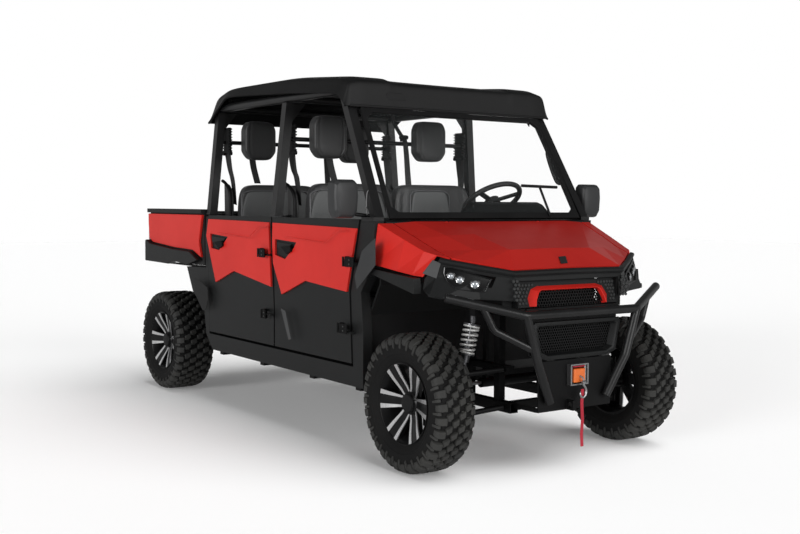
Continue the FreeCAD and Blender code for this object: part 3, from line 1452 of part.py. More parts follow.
os.makedirs("parts", exist_ok=True)
for node in NODES:
    pieces = doc.getObjectsByLabel(node)
    if len(pieces) != 1:
        raise RuntimeError(f"{node} is made {len(pieces)} times")
    shape = pieces[0].Shape
    if shape.isNull() or not shape.isValid() or shape.Volume <= 0:
        raise RuntimeError(f"{node} has no valid solid")
    shape.exportStep(f"parts/{node}.step")
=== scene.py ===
import json
import math

import bmesh
import bpy
import numpy as np
from mathutils import Matrix, Vector

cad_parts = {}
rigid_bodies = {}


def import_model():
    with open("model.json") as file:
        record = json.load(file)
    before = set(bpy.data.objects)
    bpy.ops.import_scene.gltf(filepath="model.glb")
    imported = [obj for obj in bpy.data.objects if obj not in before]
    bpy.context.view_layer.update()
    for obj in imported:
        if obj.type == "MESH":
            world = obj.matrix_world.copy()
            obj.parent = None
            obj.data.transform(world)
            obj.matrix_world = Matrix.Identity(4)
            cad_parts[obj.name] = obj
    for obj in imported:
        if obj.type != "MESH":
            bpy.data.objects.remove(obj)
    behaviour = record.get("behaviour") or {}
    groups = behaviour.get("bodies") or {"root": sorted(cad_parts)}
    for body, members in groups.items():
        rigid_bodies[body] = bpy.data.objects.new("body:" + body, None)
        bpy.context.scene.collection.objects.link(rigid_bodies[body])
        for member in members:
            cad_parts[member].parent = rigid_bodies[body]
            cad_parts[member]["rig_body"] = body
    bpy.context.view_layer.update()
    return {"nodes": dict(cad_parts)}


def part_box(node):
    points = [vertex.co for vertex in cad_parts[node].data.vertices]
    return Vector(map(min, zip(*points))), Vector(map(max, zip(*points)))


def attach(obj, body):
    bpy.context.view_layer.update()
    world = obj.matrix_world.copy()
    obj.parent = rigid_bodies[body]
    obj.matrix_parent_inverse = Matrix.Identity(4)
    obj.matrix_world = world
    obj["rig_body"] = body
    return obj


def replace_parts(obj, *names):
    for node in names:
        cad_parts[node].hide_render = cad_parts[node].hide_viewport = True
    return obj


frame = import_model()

# Chassis.
# Two square steel rails with cross members, towers and wishbones, welded and coated with black powder.
# The coat is satin with a fine pebbled skin. The battery and the drive unit sit between the members.

FRONT = sum(corner.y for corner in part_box("front_left_tyre")) / 2
REAR = sum(corner.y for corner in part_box("rear_left_tyre")) / 2 - FRONT


def add_node(tree, kind, settings=None, inputs=None):
    """A shader node with its settings, and with its inputs set to values or linked to sockets."""
    made = tree.nodes.new("ShaderNode" + kind)
    for key, value in (settings or {}).items():
        setattr(made, key, value)
    for key, value in (inputs or {}).items():
        if isinstance(value, bpy.types.NodeSocket):
            tree.links.new(value, made.inputs[key])
        else:
            made.inputs[key].default_value = value
    return made


# Moulded or coated skin: fine grain in the bump, and slow clouds in the colour and the roughness.
grain = bpy.data.node_groups.new("grained_skin", "ShaderNodeTree")
given_sockets = {"Place": "Vector", "Colour": "Color", "Cloud Colour": "Color", "Roughness": "Float"}
given_sockets |= {"Roughness Spread": "Float", "Grain Size": "Float", "Grain Depth": "Float"}
made_sockets = {"Colour": "Color", "Roughness": "Float", "Normal": "Vector"}
for way, sockets in (("INPUT", given_sockets), ("OUTPUT", made_sockets)):
    for label, kind in sockets.items():
        grain.interface.new_socket(label, in_out=way, socket_type="NodeSocket" + kind)
given, made = grain.nodes.new("NodeGroupInput").outputs, grain.nodes.new("NodeGroupOutput").inputs
pebbles = {"Vector": given["Place"], "Scale": given["Grain Size"], "Detail": 2.0}
pebbles = add_node(grain, "TexNoise", {}, pebbles).outputs["Fac"]
clouds = {"Vector": given["Place"], "Scale": 3.2, "Detail": 5.0, "Roughness": 0.62}
clouds = add_node(grain, "TexNoise", {}, clouds).outputs["Fac"]
mask = add_node(grain, "MapRange", {}, {"Value": clouds, "From Min": 0.35, "From Max": 0.68}).outputs[0]
mixing = {0: mask, 6: given["Colour"], 7: given["Cloud Colour"]}
shift = add_node(grain, "Math", {"operation": "SUBTRACT"}, {0: clouds, 1: 0.5}).outputs[0]
shine = {0: shift, 1: given["Roughness Spread"], 2: given["Roughness"]}
bump = {"Strength": 1.0, "Distance": given["Grain Depth"], "Height": pebbles}
grain.links.new(add_node(grain, "Mix", {"data_type": "RGBA"}, mixing).outputs[2], made["Colour"])
grain.links.new(add_node(grain, "Math", {"operation": "MULTIPLY_ADD"}, shine).outputs[0], made["Roughness"])
grain.links.new(add_node(grain, "Bump", {}, bump).outputs["Normal"], made["Normal"])


def plain_material(name, values):
    """A new material with values on its shader's own sockets; with it come its node tree and that shader."""
    made = bpy.data.materials.new(name)
    made.use_nodes = True
    shader = made.node_tree.nodes["Principled BSDF"]
    for label, value in values.items():
        shader.inputs[label].default_value = value
    return made, made.node_tree, shader


def skin(name, colour, cloud, roughness, grain_size, grain_depth, spread=0.25, gleam=0.5, **more):
    """A material of one grained skin. Further values go straight onto the shader's own sockets."""
    more = {label.replace("_", " "): value for label, value in more.items()}
    made, tree, shader = plain_material(name, {"Specular IOR Level": gleam, **more})
    values = {"Place": add_node(tree, "TexCoord").outputs["Object"], "Colour": (*colour, 1)}
    values |= {"Cloud Colour": (*cloud, 1), "Roughness": roughness, "Roughness Spread": spread}
    values |= {"Grain Size": grain_size, "Grain Depth": grain_depth}
    group = add_node(tree, "Group", {"node_tree": grain}, values).outputs
    for label, socket in (("Colour", "Base Color"), ("Roughness", "Roughness"), ("Normal", "Normal")):
        tree.links.new(group[label], shader.inputs[socket])
    return made


def dress(material, *nodes):
    """Gives CAD nodes, whose shape is right as it is, a finish of their own."""
    for name in nodes:
        node = frame["nodes"][name]
        if node.material_slots:
            node.material_slots[0].material = material
        else:
            node.data.materials.append(material)


coat = (0.0035, 0.0035, 0.0037), (0.0055, 0.0055, 0.0057)
powder_coat = skin("black_powder_coat", *coat, 0.45, 1500.0, 0.00012, gleam=0.14)
black = (0.0055, 0.0056, 0.0058), (0.008, 0.008, 0.0083)
black_plastic = skin("black_moulded_plastic", *black, 0.5, 1900.0, 0.00015, gleam=0.2)
cast_metal = skin("cast_aluminium", (0.34, 0.34, 0.35), (0.26, 0.26, 0.27), 0.45, 700.0, 0.0002, Metallic=0.9)
dress(powder_coat, "frame", "subframes", "suspension_arms", "rear_axles", "hitch_receiver")
dress(powder_coat, "front_left_knuckle", "front_right_knuckle")
dress(cast_metal, "steering_rack")

# Battery and drive unit.
# The battery stands under the front bench in a black moulded case with ribs, a lid and bolted corners.
# The drive unit is a finned motor in cast aluminium beside a bolted gearbox, on two feet over the rear axle.

ACROSS, UP = (1, 0, 0), (0, 0, 1)


def grid_faces(rows, columns, wrap_rows=False, wrap_columns=False):
    """Quads between the neighbours of a grid of points, numbered row by row."""
    i = np.arange(rows if wrap_rows else rows - 1)
    j = np.arange(columns if wrap_columns else columns - 1)
    a, b = np.meshgrid(i, j, indexing="ij")
    c, d = (a + 1) % rows, (b + 1) % columns
    return np.stack([a * columns + b, a * columns + d, c * columns + d, c * columns + b], -1).reshape(-1, 4)


def closed_grid(points, wrap_rows=False):
    """A shell whose columns run round it. Its first and last rows are capped unless the rows wrap too."""
    points = np.asarray(points)
    rows, columns = points.shape[:2]
    faces = [grid_faces(rows, columns, wrap_rows, True)]
    if not wrap_rows:
        faces += [np.arange(columns)[None, ::-1], (rows - 1) * columns + np.arange(columns)[None, :]]
    return points.reshape(-1, 3), faces


def set_down(name, mesh, body, material, sharp, bevel, segments):
    """Puts a mesh into the scene with its finish, its shading and its rounding, riding on a body."""
    made = bpy.data.objects.new(name, mesh)
    bpy.context.scene.collection.objects.link(made)
    mesh.materials.clear()
    mesh.materials.append(material)
    mesh.shade_smooth()
    mesh.set_sharp_from_angle(angle=math.radians(sharp))
    if bevel:
        rounding = made.modifiers.new("rounding", "BEVEL")
        rounding.width = bevel
        rounding.segments = segments
        rounding.limit_method = "ANGLE"
        rounding.angle_limit = math.radians(min(24, sharp))
        rounding.harden_normals = True
    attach(made, body)
    return made


def cleaned(mesh, reach, flat=None):
    """Joins a mesh's doubled corners, makes its flat faces whole where asked, and turns its faces outwards."""
    shell = bmesh.new()
    shell.from_mesh(mesh)
    bmesh.ops.remove_doubles(shell, verts=shell.verts, dist=reach)
    if flat:
        bmesh.ops.dissolve_limit(shell, angle_limit=flat, verts=shell.verts, edges=shell.edges)
    bmesh.ops.recalc_face_normals(shell, faces=shell.faces)
    shell.to_mesh(mesh)
    shell.free()


def piece(name, shells, material, body="chassis", sharp=32.0, bevel=0.0, segments=2):
    """One object of several closed shells, (points, face arrays) each, with y from the front axle."""
    mesh = bpy.data.meshes.new(name)
    points = np.concatenate([shell[0] for shell in shells]) + [0, FRONT, 0]
    starts = np.cumsum([0] + [len(shell[0]) for shell in shells])
    faces = [block + start for shell, start in zip(shells, starts) for block in shell[1]]
    loops = np.concatenate([block.ravel() for block in faces])
    sizes = np.concatenate([np.full(len(block), block.shape[1]) for block in faces])
    mesh.vertices.add(len(points))
    mesh.vertices.foreach_set("co", points.astype(np.float32).ravel())
    mesh.loops.add(len(loops))
    mesh.loops.foreach_set("vertex_index", loops.astype(np.int32))
    mesh.polygons.add(len(sizes))
    mesh.polygons.foreach_set("loop_start", (np.cumsum(sizes) - sizes).astype(np.int32))
    mesh.update(calc_edges=True)
    cleaned(mesh, 1e-6)
    return set_down(name, mesh, body, material, sharp, bevel, segments)


def slab(outline, way):
    """A flat plate: a closed outline, and the same outline moved by a vector."""
    outline = np.asarray(outline, float)
    return closed_grid([outline, outline + np.asarray(way)])


def aside(outline, x):
    """An outline of (y, z) corners in the upright plane at x, which faces sideways."""
    return np.array([(x, y, z) for y, z in outline])


def side_slab(outline, x, thick):
    """A flat plate that faces sideways, from an outline of (y, z) corners at x."""
    return slab(aside(outline, x), (thick, 0, 0))


def box(low, high):
    """A closed box between two corners, as a rectangle moved upwards."""
    (a, b, c), (d, e, f) = low, high
    return slab([(a, b, c), (d, b, c), (d, e, c), (a, e, c)], (0, 0, f - c))


def lathe(profile, centre, way, side, segments=32):
    """A turned solid: (distance along the way, radius) pairs round an axis. side is where its ring starts."""
    way, side = np.asarray(way, float), np.asarray(side, float)
    way, side = way / np.linalg.norm(way), side / np.linalg.norm(side)
    turn = np.linspace(0, 2 * np.pi, segments, endpoint=False)[:, None]
    ring = np.cos(turn) * side + np.sin(turn) * np.cross(way, side)
    profile = np.asarray(profile, float)
    return closed_grid(np.asarray(centre) + profile[:, :1, None] * way + profile[:, 1, None, None] * ring)


battery = [box((-0.345, 0.805, 0.371), (0.345, 1.155, 0.540))]
battery.append(box((-0.350, 0.800, 0.548), (0.350, 1.160, 0.575)))
battery.append(box((-0.340, 0.810, 0.538), (0.340, 1.150, 0.550)))
battery += [box((x - 0.006, 0.800, 0.375), (x + 0.006, 1.160, 0.536)) for x in -0.319 + 0.058 * np.arange(12)]
lid_bolt = [(0, 0.011), (0.005, 0.011), (0.006, 0.009)]
battery += [lathe(lid_bolt, (x, y, 0.575), UP, ACROSS, 6) for x in (-0.32, 0.32) for y in (0.83, 1.13)]
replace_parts(piece("battery_case", battery, black_plastic, bevel=0.0025), "battery_pack")

fins = np.where((np.arange(69) % 4) < 2, 0.098, 0.086)
profile = [(-0.150, 0.050), (-0.148, 0.080), *zip(np.linspace(-0.140, 0.030, 69), fins)]
profile += [(0.035, 0.092), (0.045, 0.060)]
motor = [lathe(profile, (0, 2.945, 0.425), ACROSS, UP, 48)]
case = [(2.800, 0.350), (2.840, 0.327), (3.040, 0.327), (3.085, 0.365), (3.085, 0.470), (3.020, 0.535)]
case = np.array(case + [(2.900, 0.538), (2.800, 0.455)])
case_middle = np.array([2.9325, 0.43])
flange = case_middle + (case - case_middle) * [1.03, 1.04]
motor += [side_slab(case, 0.040, 0.085), side_slab(flange, 0.078, 0.010)]
for y, z in case_middle + (flange - case_middle) * [0.93, 0.90]:
    motor.append(lathe([(0, 0.007), (0.006, 0.007), (0.007, 0.005)], (0.086, y, z), ACROSS, UP, 6))
motor += [box((-0.12, y, 0.323), (0.11, y + 0.03, 0.345)) for y in (2.86, 3.01)]
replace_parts(piece("motor_and_gearbox", motor, cast_metal, bevel=0.0015), "drive_unit")

# Springs.
# Each damper carries a coil of round spring steel, lacquered light grey, between two seats.
# The wire is wound round the damper's axis, and its last turn at each end lies flat on the seat.

light_grey = (0.62, 0.62, 0.6), (0.5, 0.5, 0.49)
lacquer = {"Metallic": 0.35, "Coat_Weight": 0.4}
spring_steel = skin("lacquered_spring_steel", *light_grey, 0.34, 500.0, 0.00008, **lacquer)
damper_metal = skin("damper_body", (0.11, 0.11, 0.115), (0.08, 0.08, 0.085), 0.3, 900.0, 0.00006, Metallic=0.8)
dress(damper_metal, "shocks")


def frames_along(path):
    """Unit vectors along a path, and two across it that turn with it as little as they can."""
    ahead = np.gradient(path, axis=0)
    ahead /= np.linalg.norm(ahead, axis=1, keepdims=True)
    side = np.zeros_like(path)
    start = np.array([0.0, 0.0, 1.0]) if abs(ahead[0, 2]) < 0.9 else np.array([0.0, 1.0, 0.0])
    side[0] = np.cross(ahead[0], start)
    side[0] /= np.linalg.norm(side[0])
    for i in range(1, len(path)):
        flat = side[i - 1] - ahead[i] * np.dot(side[i - 1], ahead[i])
        side[i] = flat / np.linalg.norm(flat)
    return ahead, side, np.cross(ahead, side)


def tube(path, radius, around=12):
    """A round tube: a circle of that radius at each point of the path, square to it."""
    path = np.asarray(path, float)
    ahead, side, third = frames_along(path)
    turn = np.linspace(0, 2 * np.pi, around, endpoint=False)
    ring = np.cos(turn)[None, :, None] * side[:, None] + np.sin(turn)[None, :, None] * third[:, None]
    size = np.broadcast_to(np.asarray(radius, float), (len(path),))[:, None, None]
    return closed_grid(path[:, None] + ring * size)


def coil(top, foot, radius, wire, turns):
    """A helix round the line from top to foot. It rises evenly but for a short flat turn at each end."""
    share = np.linspace(0, 1, int(turns * 20))
    rise = np.clip((share * turns - 0.6) / (turns - 1.2), 0, 1) * 0.94 + 0.03
    way = (foot - top) / np.linalg.norm(foot - top)
    side = np.cross(way, [0, 1, 0])
    side /= np.linalg.norm(side)
    angle = share * turns * 2 * np.pi
    path = top + (foot - top) * rise[:, None]
    path += radius * (np.cos(angle)[:, None] * side + np.sin(angle)[:, None] * np.cross(way, side))
    return tube(path, wire, 8)


for end, axle, back, reach, height in (
    ("front", 0, -0.085, -0.071, 0.5172),
    ("rear", REAR, -0.090, -0.0664, 0.516),
):
    coils = []
    for hand in (1, -1):
        top = np.array([hand * 0.425, axle + back, 0.7397])
        foot = np.array([hand * 0.470, axle + reach, height])
        way = (foot - top) / np.linalg.norm(foot - top)
        coils.append(coil(top + way * 0.028, foot - way * 0.060, 0.036, 0.006, 6.5))
    piece(end + "_springs", coils, spring_steel, sharp=60)

# Tyres.
# Four radial off-road tyres: a rubber carcass with rounded shoulders and a protector ring on the sidewall.
# Blocks stand on it in rows, staggered by half a pitch, and the shoulder blocks run down on to the sidewall.

sidewall = (0.0065, 0.0065, 0.0067), (0.010, 0.0097, 0.0093)
rubber = skin("tyre_rubber", *sidewall, 0.72, 420.0, 0.0005, spread=0.3, gleam=0.12)
# The blocks get a lighter rubber than the carcass: painted light on the block tops, against the darker grooves
# between them.
lit_block_tone = (0.022, 0.0222, 0.0215), (0.034, 0.0335, 0.031)
tread_rubber = skin("tread_rubber", *lit_block_tone, 0.66, 420.0, 0.0006, spread=0.3, gleam=0.3)
TYRE_RADIUS = 0.343
BLOCKS_ROUND = 32
PITCH = 2 * np.pi / BLOCKS_ROUND


def carcass_line(width):
    """Half of a tyre's outer section from its middle to the bead: tread, round shoulder, bulged sidewall."""
    half = width / 2
    tread = half - 0.016
    outer = [(0, 0.3275), (tread * 0.6, 0.3268), (tread * 0.86, 0.3235), (tread, 0.3160)]
    outer.append((half - 0.0065, 0.3020))
    side = [(half - 0.003, 0.2860), (half - 0.0015, 0.2700), (half - 0.002, 0.2520), (half - 0.0095, 0.2300)]
    bead = [(half - 0.0195, 0.2110), (half - 0.0245, 0.2030), (half - 0.0245, 0.1995)]
    return np.array(outer + side + bead)


def smooth_line(points, count):
    """A line through the points by Catmull-Rom cubics, read at even steps of its length."""
    points = np.asarray(points, float)
    padded = np.vstack([2 * points[0] - points[1], points, 2 * points[-1] - points[-2]])
    t = np.linspace(0, 1, 12, endpoint=False)[:, None]
    parts = []
    for a, b, c, d in zip(padded, padded[1:], padded[2:], padded[3:]):
        cubic = 2 * b + (c - a) * t + (2 * a - 5 * b + 4 * c - d) * t**2 + (3 * b - a - 3 * c + d) * t**3
        parts.append(0.5 * cubic)
    fine = np.vstack([*parts, points[-1:]])
    length = np.r_[0, np.cumsum(np.linalg.norm(np.diff(fine, axis=0), axis=1))]
    even = np.linspace(0, length[-1], count)
    return np.stack([np.interp(even, length, fine[:, k]) for k in range(points.shape[1])], -1)


def turned(line, centre, segments):
    """A closed section (x, radius) turned once round the axle: y = r sin, z = r cos of the turning angle."""
    angle = np.linspace(0, 2 * np.pi, segments, endpoint=False)[:, None]
    x = np.broadcast_to(line[None, :, 0], (segments, len(line)))
    points = np.stack([x, line[None, :, 1] * np.sin(angle), line[None, :, 1] * np.cos(angle)], -1)
    return closed_grid(points + np.asarray(centre), wrap_rows=True)


def block_row(section, stations, middles, widths, heights, phase, hand):
    """Copies of one block round the tyre. It is carried across the tread over stations, at each of which it
    has a middle, a width and a height; hand mirrors it to the other half of the tread."""
    reach, line, normal = section
    stations = np.asarray(stations)
    middles, half = np.asarray(middles) / TYRE_RADIUS, np.asarray(widths) / TYRE_RADIUS / 2
    x, r = (np.interp(stations, reach, line[:, k]) for k in (0, 1))
    nx, nr = (np.interp(stations, reach, normal[:, k]) for k in (0, 1))
    flank = [(0.9, 1.0), (1.0, 0.84), (1.12, -0.22)]
    across, up = np.array([(-a, b) for a, b in flank[::-1]] + flank).T
    lift = up[None, :] * np.asarray(heights)[:, None]
    angle = phase + np.arange(BLOCKS_ROUND)[:, None, None] * PITCH
    angle = angle + (middles * hand)[None, :, None] + half[None, :, None] * across
    radius = np.broadcast_to((r[:, None] + nr[:, None] * lift)[None], angle.shape)
    place = np.broadcast_to((x[:, None] + nx[:, None] * lift)[None] * hand, angle.shape)
    return np.stack([place, radius * np.sin(angle), radius * np.cos(angle)], -1)


def many(points, wrap_rows=False):
    """Shells of closed_grid from an array of (copies, rows, columns, 3)."""
    copies, rows, columns = points.shape[:3]
    one = closed_grid(points[0], wrap_rows)[1]
    step = (np.arange(copies) * rows * columns)[:, None, None]
    return points.reshape(-1, 3), [(faces[None] + step).reshape(-1, faces.shape[1]) for faces in one]


def tread_rows(width, centre):
    """All blocks of a tyre: shoulder blocks with lugs between them, and two staggered rows with tie bars."""
    line = smooth_line(carcass_line(width), 60)
    reach = np.r_[0, np.cumsum(np.linalg.norm(np.diff(line, axis=0), axis=1))]
    tangent = np.gradient(line, axis=0)
    normal = np.stack([-tangent[:, 1], tangent[:, 0]], -1)
    normal /= np.linalg.norm(normal, axis=1, keepdims=True)
    tread = width / 2 - 0.016
    deep, low = 0.0155, 0.008
    rows = []
    shoulder = tread + np.array([-0.024, -0.020, -0.002, 0.010, 0.024, 0.032])
    shoulder_wide = [0.034, 0.038, 0.038, 0.037, 0.034, 0.030]
    shoulder_deep = [deep * 0.72, deep, deep, deep * 0.86, low, low * 0.3]
    rows.append((shoulder, [0.002, 0.002, 0.003, 0.004, 0.004, 0.004], shoulder_wide, shoulder_deep, 0.0))
    lug = tread + np.array([0.002, 0.010, 0.018, 0.044, 0.052])
    lug_deep = [deep * 0.5, deep * 0.62, low, low * 0.8, low * 0.2]
    rows.append((lug, [0.033, 0.033, 0.033, 0.035, 0.035], [0.015, 0.017, 0.017, 0.013, 0.010], lug_deep, 0.0))
    for low_share, high_share, turn, wide in ((0.44, 0.72, 0.30, 0.030), (0.05, 0.36, 0.78, 0.031)):
        a, b = tread * low_share, tread * high_share
        middle = (a + b) / 2
        block_wide = [wide * 0.8, wide, wide, wide, wide * 0.8]
        block_deep = [deep * 0.7, deep, deep, deep, deep * 0.7]
        block = [a - 0.003, a, middle, b, b + 0.003]
        rows.append((block, [-0.006, -0.006, 0, 0.006, 0.006], block_wide, block_deep, turn))
        bar = middle + np.array([-0.0075, -0.0065, 0.0065, 0.0075])
        bar_deep = [low * 0.6, low, low, low * 0.6]
        rows.append((bar, [wide / 2 + 0.0045] * 4, [0.0048, 0.006, 0.006, 0.0048], bar_deep, turn))
    shells = []
    for hand, offset in ((1, 0.0), (-1, 0.5)):
        for *block, turn in rows:
            points = block_row((reach, line, normal), *block, PITCH * (offset + turn), hand)
            shells.append(many(points + np.asarray(centre)))
    return shells


def carcass(width, centre):
    """The rubber body under the blocks, with a thin wall inside and two raised rings on each sidewall."""
    outer = smooth_line(carcass_line(width), 40)
    for height, middle, wide in ((0.0022, 0.2455, 0.0035), (0.0016, 0.2265, 0.0022)):
        outer[:, 0] += height * np.exp(-(((outer[:, 1] - middle) / wide) ** 2))
    inner = outer[::-1].copy()
    inner[:, 0] = np.maximum(inner[:, 0] - 0.016, 0)
    inner[:, 1] = np.where(inner[:, 0] < width / 2 - 0.03, inner[:, 1] - 0.014, inner[:, 1])
    half = np.vstack([outer, inner])
    right = half[half[:, 0] > 1e-6]
    return turned(np.vstack([outer[:1], right, inner[-1:], right[::-1] * [-1, 1]]), centre, 120)


WHEELS = []
for end, axle, width in (("front", 0, 0.215), ("rear", REAR, 0.262)):
    for name, side in (("left", 1), ("right", -1)):
        centre = np.array([side * (0.807 - width / 2), axle, TYRE_RADIUS])
        WHEELS.append((f"{end}_{name}", side, centre, width))
for label, side, centre, width in WHEELS:
    tyre = piece(label + "_tyre_rubber", [carcass(width, centre)], rubber, label + "_wheel", sharp=38)
    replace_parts(tyre, label + "_tyre")
    piece(label + "_tyre_tread", tread_rows(width, centre), tread_rubber, label + "_wheel", sharp=38)

# Rims.
# Cast alloy: a barrel and six pairs of spokes, painted gloss black, with the spokes' faces cut bright.
# A black cap closes the hub, and four nuts hold the rim between the spokes' roots.

rim_paint = (0.005, 0.005, 0.0053), (0.007, 0.007, 0.0073)
rim_black = skin("gloss_black_rim", *rim_paint, 0.3, 260.0, 0.00002, spread=0.1, gleam=0.2)
cut_alloy, tree, principled = plain_material("lathe_cut_alloy", {"Metallic": 0.92})
rings = {"Vector": add_node(tree, "UVMap", {"uv_map": "turning"}).outputs["UV"], "Scale": 1.0, "Detail": 3.0}
lines = add_node(tree, "TexNoise", {"noise_dimensions": "2D"}, rings).outputs["Fac"]
bright_and_brighter = {0: lines, 6: (0.66, 0.66, 0.67, 1), 7: (0.86, 0.86, 0.86, 1)}
tone = add_node(tree, "Mix", {"data_type": "RGBA"}, bright_and_brighter).outputs[2]
matt = add_node(tree, "MapRange", {}, {"Value": lines, "To Min": 0.22, "To Max": 0.38}).outputs[0]
cuts = add_node(tree, "Bump", {}, {"Strength": 0.5, "Distance": 0.00008, "Height": lines}).outputs["Normal"]
for output, label in ((tone, "Base Color"), (matt, "Roughness"), (cuts, "Normal")):
    tree.links.new(output, principled.inputs[label])

SPOKE_R = np.array([0.046, 0.060, 0.085, 0.115, 0.145, 0.175, 0.1985])


def spoke_bars(centre, side, face_x, offsets, widths, section):
    """Bars along six spokes. Offset from the spoke's middle and width grow from the hub to the lip.

    section gives (share of the half width, height) pairs across the bar, which runs outwards over the dish."""
    dish = np.interp(SPOKE_R, [0.046, 0.085, 0.150, 0.1985], [-0.047, -0.038, -0.014, 0.0])
    width, split = (np.interp(SPOKE_R, [0.046, 0.1985], ends) for ends in (widths, offsets))
    across, depth = np.array(section).T
    bars = []
    for spoke in range(6):
        for hand in (-1, 1) if offsets[1] else (1,):
            angle = spoke * np.pi / 3 + np.pi / 6
            off = hand * split[:, None] + width[:, None] / 2 * across[None, :]
            radial = np.sqrt(SPOKE_R[:, None] ** 2 - np.minimum(off**2, SPOKE_R[:, None] ** 2 * 0.7))
            x = side * (face_x + dish[:, None] + depth[None, :])
            y = radial * np.sin(angle) + off * np.cos(angle)
            z = radial * np.cos(angle) - off * np.sin(angle)
            bars.append(np.stack([x, y, z], -1) + centre * [0, 1, 1])
    return many(np.array(bars))


def give_rings(made, centre):
    """UV that follows a lathe's cut: one number grows fast with the radius, one slowly with the angle."""
    mesh = made.data
    layer = mesh.uv_layers.new(name="turning")
    co = np.zeros(len(mesh.vertices) * 3)
    mesh.vertices.foreach_get("co", co)
    co = co.reshape(-1, 3) - centre - [0, FRONT, 0]
    index = np.zeros(len(mesh.loops), int)
    mesh.loops.foreach_get("vertex_index", index)
    rings = np.stack([np.hypot(co[:, 1], co[:, 2]) * 900, np.arctan2(co[:, 1], co[:, 2]) * 1.5], -1)[index]
    layer.data.foreach_set("uv", rings.ravel())


def disc(centre, x_line, r_line, side, segments=72):
    """A turned solid from a line of (x out of the rim's middle, radius) that starts and ends on the axle."""
    return turned(np.stack([side * np.asarray(x_line), np.asarray(r_line)], -1), centre, segments)


barrel_x = [-84, -84, -80, -77, -75, -50, -38, 38, 50, 75, 81, 84, 89, 90, 86, 70, 46, -40, -60, -80]
barrel_r = [186, 197, 198, 195, 188, 188, 174, 174, 188, 188, 195, 199, 200, 197, 193, 184, 170, 168, 181, 183]
barrel_x, barrel_r = np.array([barrel_x, barrel_r]) / 1000
spoke_block = [(-1.0, -0.030), (-1.0, -0.006), (-0.93, -0.004), (0.93, -0.004), (1.0, -0.006), (1.0, -0.030)]
spoke_cut = [(-1.0, -0.006), (-0.97, -0.0005), (0.97, 0.0), (1.0, -0.006)]
around = np.linspace(0, 2 * np.pi, 6, endpoint=False)
nut_ring = np.stack([np.zeros(6), np.cos(around), np.sin(around)], -1)
for label, side, centre, width in WHEELS:
    wide = width / 2 - 0.1075
    face_x = centre[0] * side + 0.0895 + wide
    casting = [disc(centre, barrel_x + np.sign(barrel_x) * wide, barrel_r, side, 96)]
    casting.append(spoke_bars(centre, side, face_x, (0.0, 0.0), (0.050, 0.098), spoke_block))
    hub_x = np.array([0.010, 0.046, 0.050, 0.050, 0.044, 0.020, 0.010]) + wide
    casting.append(disc(centre, hub_x, [0.0203, 0.0203, 0.030, 0.050, 0.058, 0.060, 0.056], side))
    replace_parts(piece(label + "_rim_casting", casting, rim_black, label + "_wheel"), label + "_rim")
    faces = [spoke_bars(centre, side, face_x, (0.0205, 0.0370), (0.0085, 0.0240), spoke_cut)]
    give_rings(piece(label + "_rim_faces", faces, cut_alloy, label + "_wheel", sharp=50), centre)
    cap_x = np.array([0.040, 0.060, 0.066, 0.069, 0.070, 0.040]) + wide
    hub = [disc(centre, cap_x, [0.048, 0.0475, 0.043, 0.030, 0.0, 0.0], side, 48)]
    for angle in np.arange(4) * np.pi / 2 + 0.42:
        middle = centre * [0, 1, 1] + np.array([0, 0.0535 * np.sin(angle), 0.0535 * np.cos(angle)])
        steps = [(0.040, 0.0035), (0.050, 0.0035), (0.052, 0.0032), (0.053, 0.0020)]
        start = centre[0] + side * wide
        hub.append(closed_grid([middle + nut_ring * r + [start + side * x, 0, 0] for x, r in steps]))
    piece(label + "_hub_cap", hub, black_plastic, label + "_wheel")

# Floor, sills and lower frames.
# The floor and the firewall are one black moulded pan. The sills, the strips beside the doors and the arch
# flares are dark grey moulded plastic with a fine leather-like grain, screwed to the frame.


def rounded(node, material, width, segments=2, sharp=32.0):
    """A CAD node's own shell with its flat faces made whole and its edges rounded, standing for the node."""
    source = frame["nodes"][node]
    mesh = source.data.copy()
    cleaned(mesh, 2e-5, math.radians(0.8))
    if "custom_normal" in mesh.attributes:
        mesh.attributes.remove(mesh.attributes["custom_normal"])
    made = set_down(node + "_shell", mesh, source["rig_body"], material, sharp, width, segments)
    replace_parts(made, node)


dark_grey = (0.0095, 0.0099, 0.0101), (0.0125, 0.0129, 0.0131)
grey_plastic = skin("dark_grey_moulded_plastic", *dark_grey, 0.44, 1300.0, 0.0002, spread=0.2, gleam=0.18)
rounded("floor_tub", black_plastic, 0.003)
rounded("side_frames", grey_plastic, 0.0035)

# Seats.
# Two benches on moulded boxes, with backs in two places that lean on the cage.
# Foam under black vinyl, sewn in channels; each back has a grey insert with a chamfered, piped outline.

rounded("seat_boxes", black_plastic, 0.008, 3)
dark = (0.014, 0.014, 0.0145), (0.021, 0.021, 0.0215)
vinyl = skin("black_seat_vinyl", *dark, 0.47, 620.0, 0.0004, spread=0.3, Sheen_Weight=0.12)
mid_grey = (0.105, 0.108, 0.108), (0.088, 0.091, 0.091)
grey_vinyl = skin("grey_seat_vinyl", *mid_grey, 0.5, 620.0, 0.0004, spread=0.3, gleam=0.3)
LEAN = 0.0815


def soft_block(half, power, cells):
    """A closed block with round edges: a cube's faces, as grids, divided by their p-norm and scaled."""
    line = np.linspace(-1, 1, cells + 1)
    u, v = np.meshgrid(line, line, indexing="ij")
    one = np.ones_like(u)
    points = [np.roll([one * sign, u, v], axis, axis=0) for axis in range(3) for sign in (-1, 1)]
    points = np.moveaxis(points, 1, -1)
    norm = (np.abs(points) ** power).sum(-1, keepdims=True) ** (1 / power)
    points = points / norm * np.asarray(half)
    step = (np.arange(6) * (cells + 1) ** 2)[:, None, None]
    return points.reshape(-1, 3), [(grid_faces(cells + 1, cells + 1)[None] + step).reshape(-1, 4)]


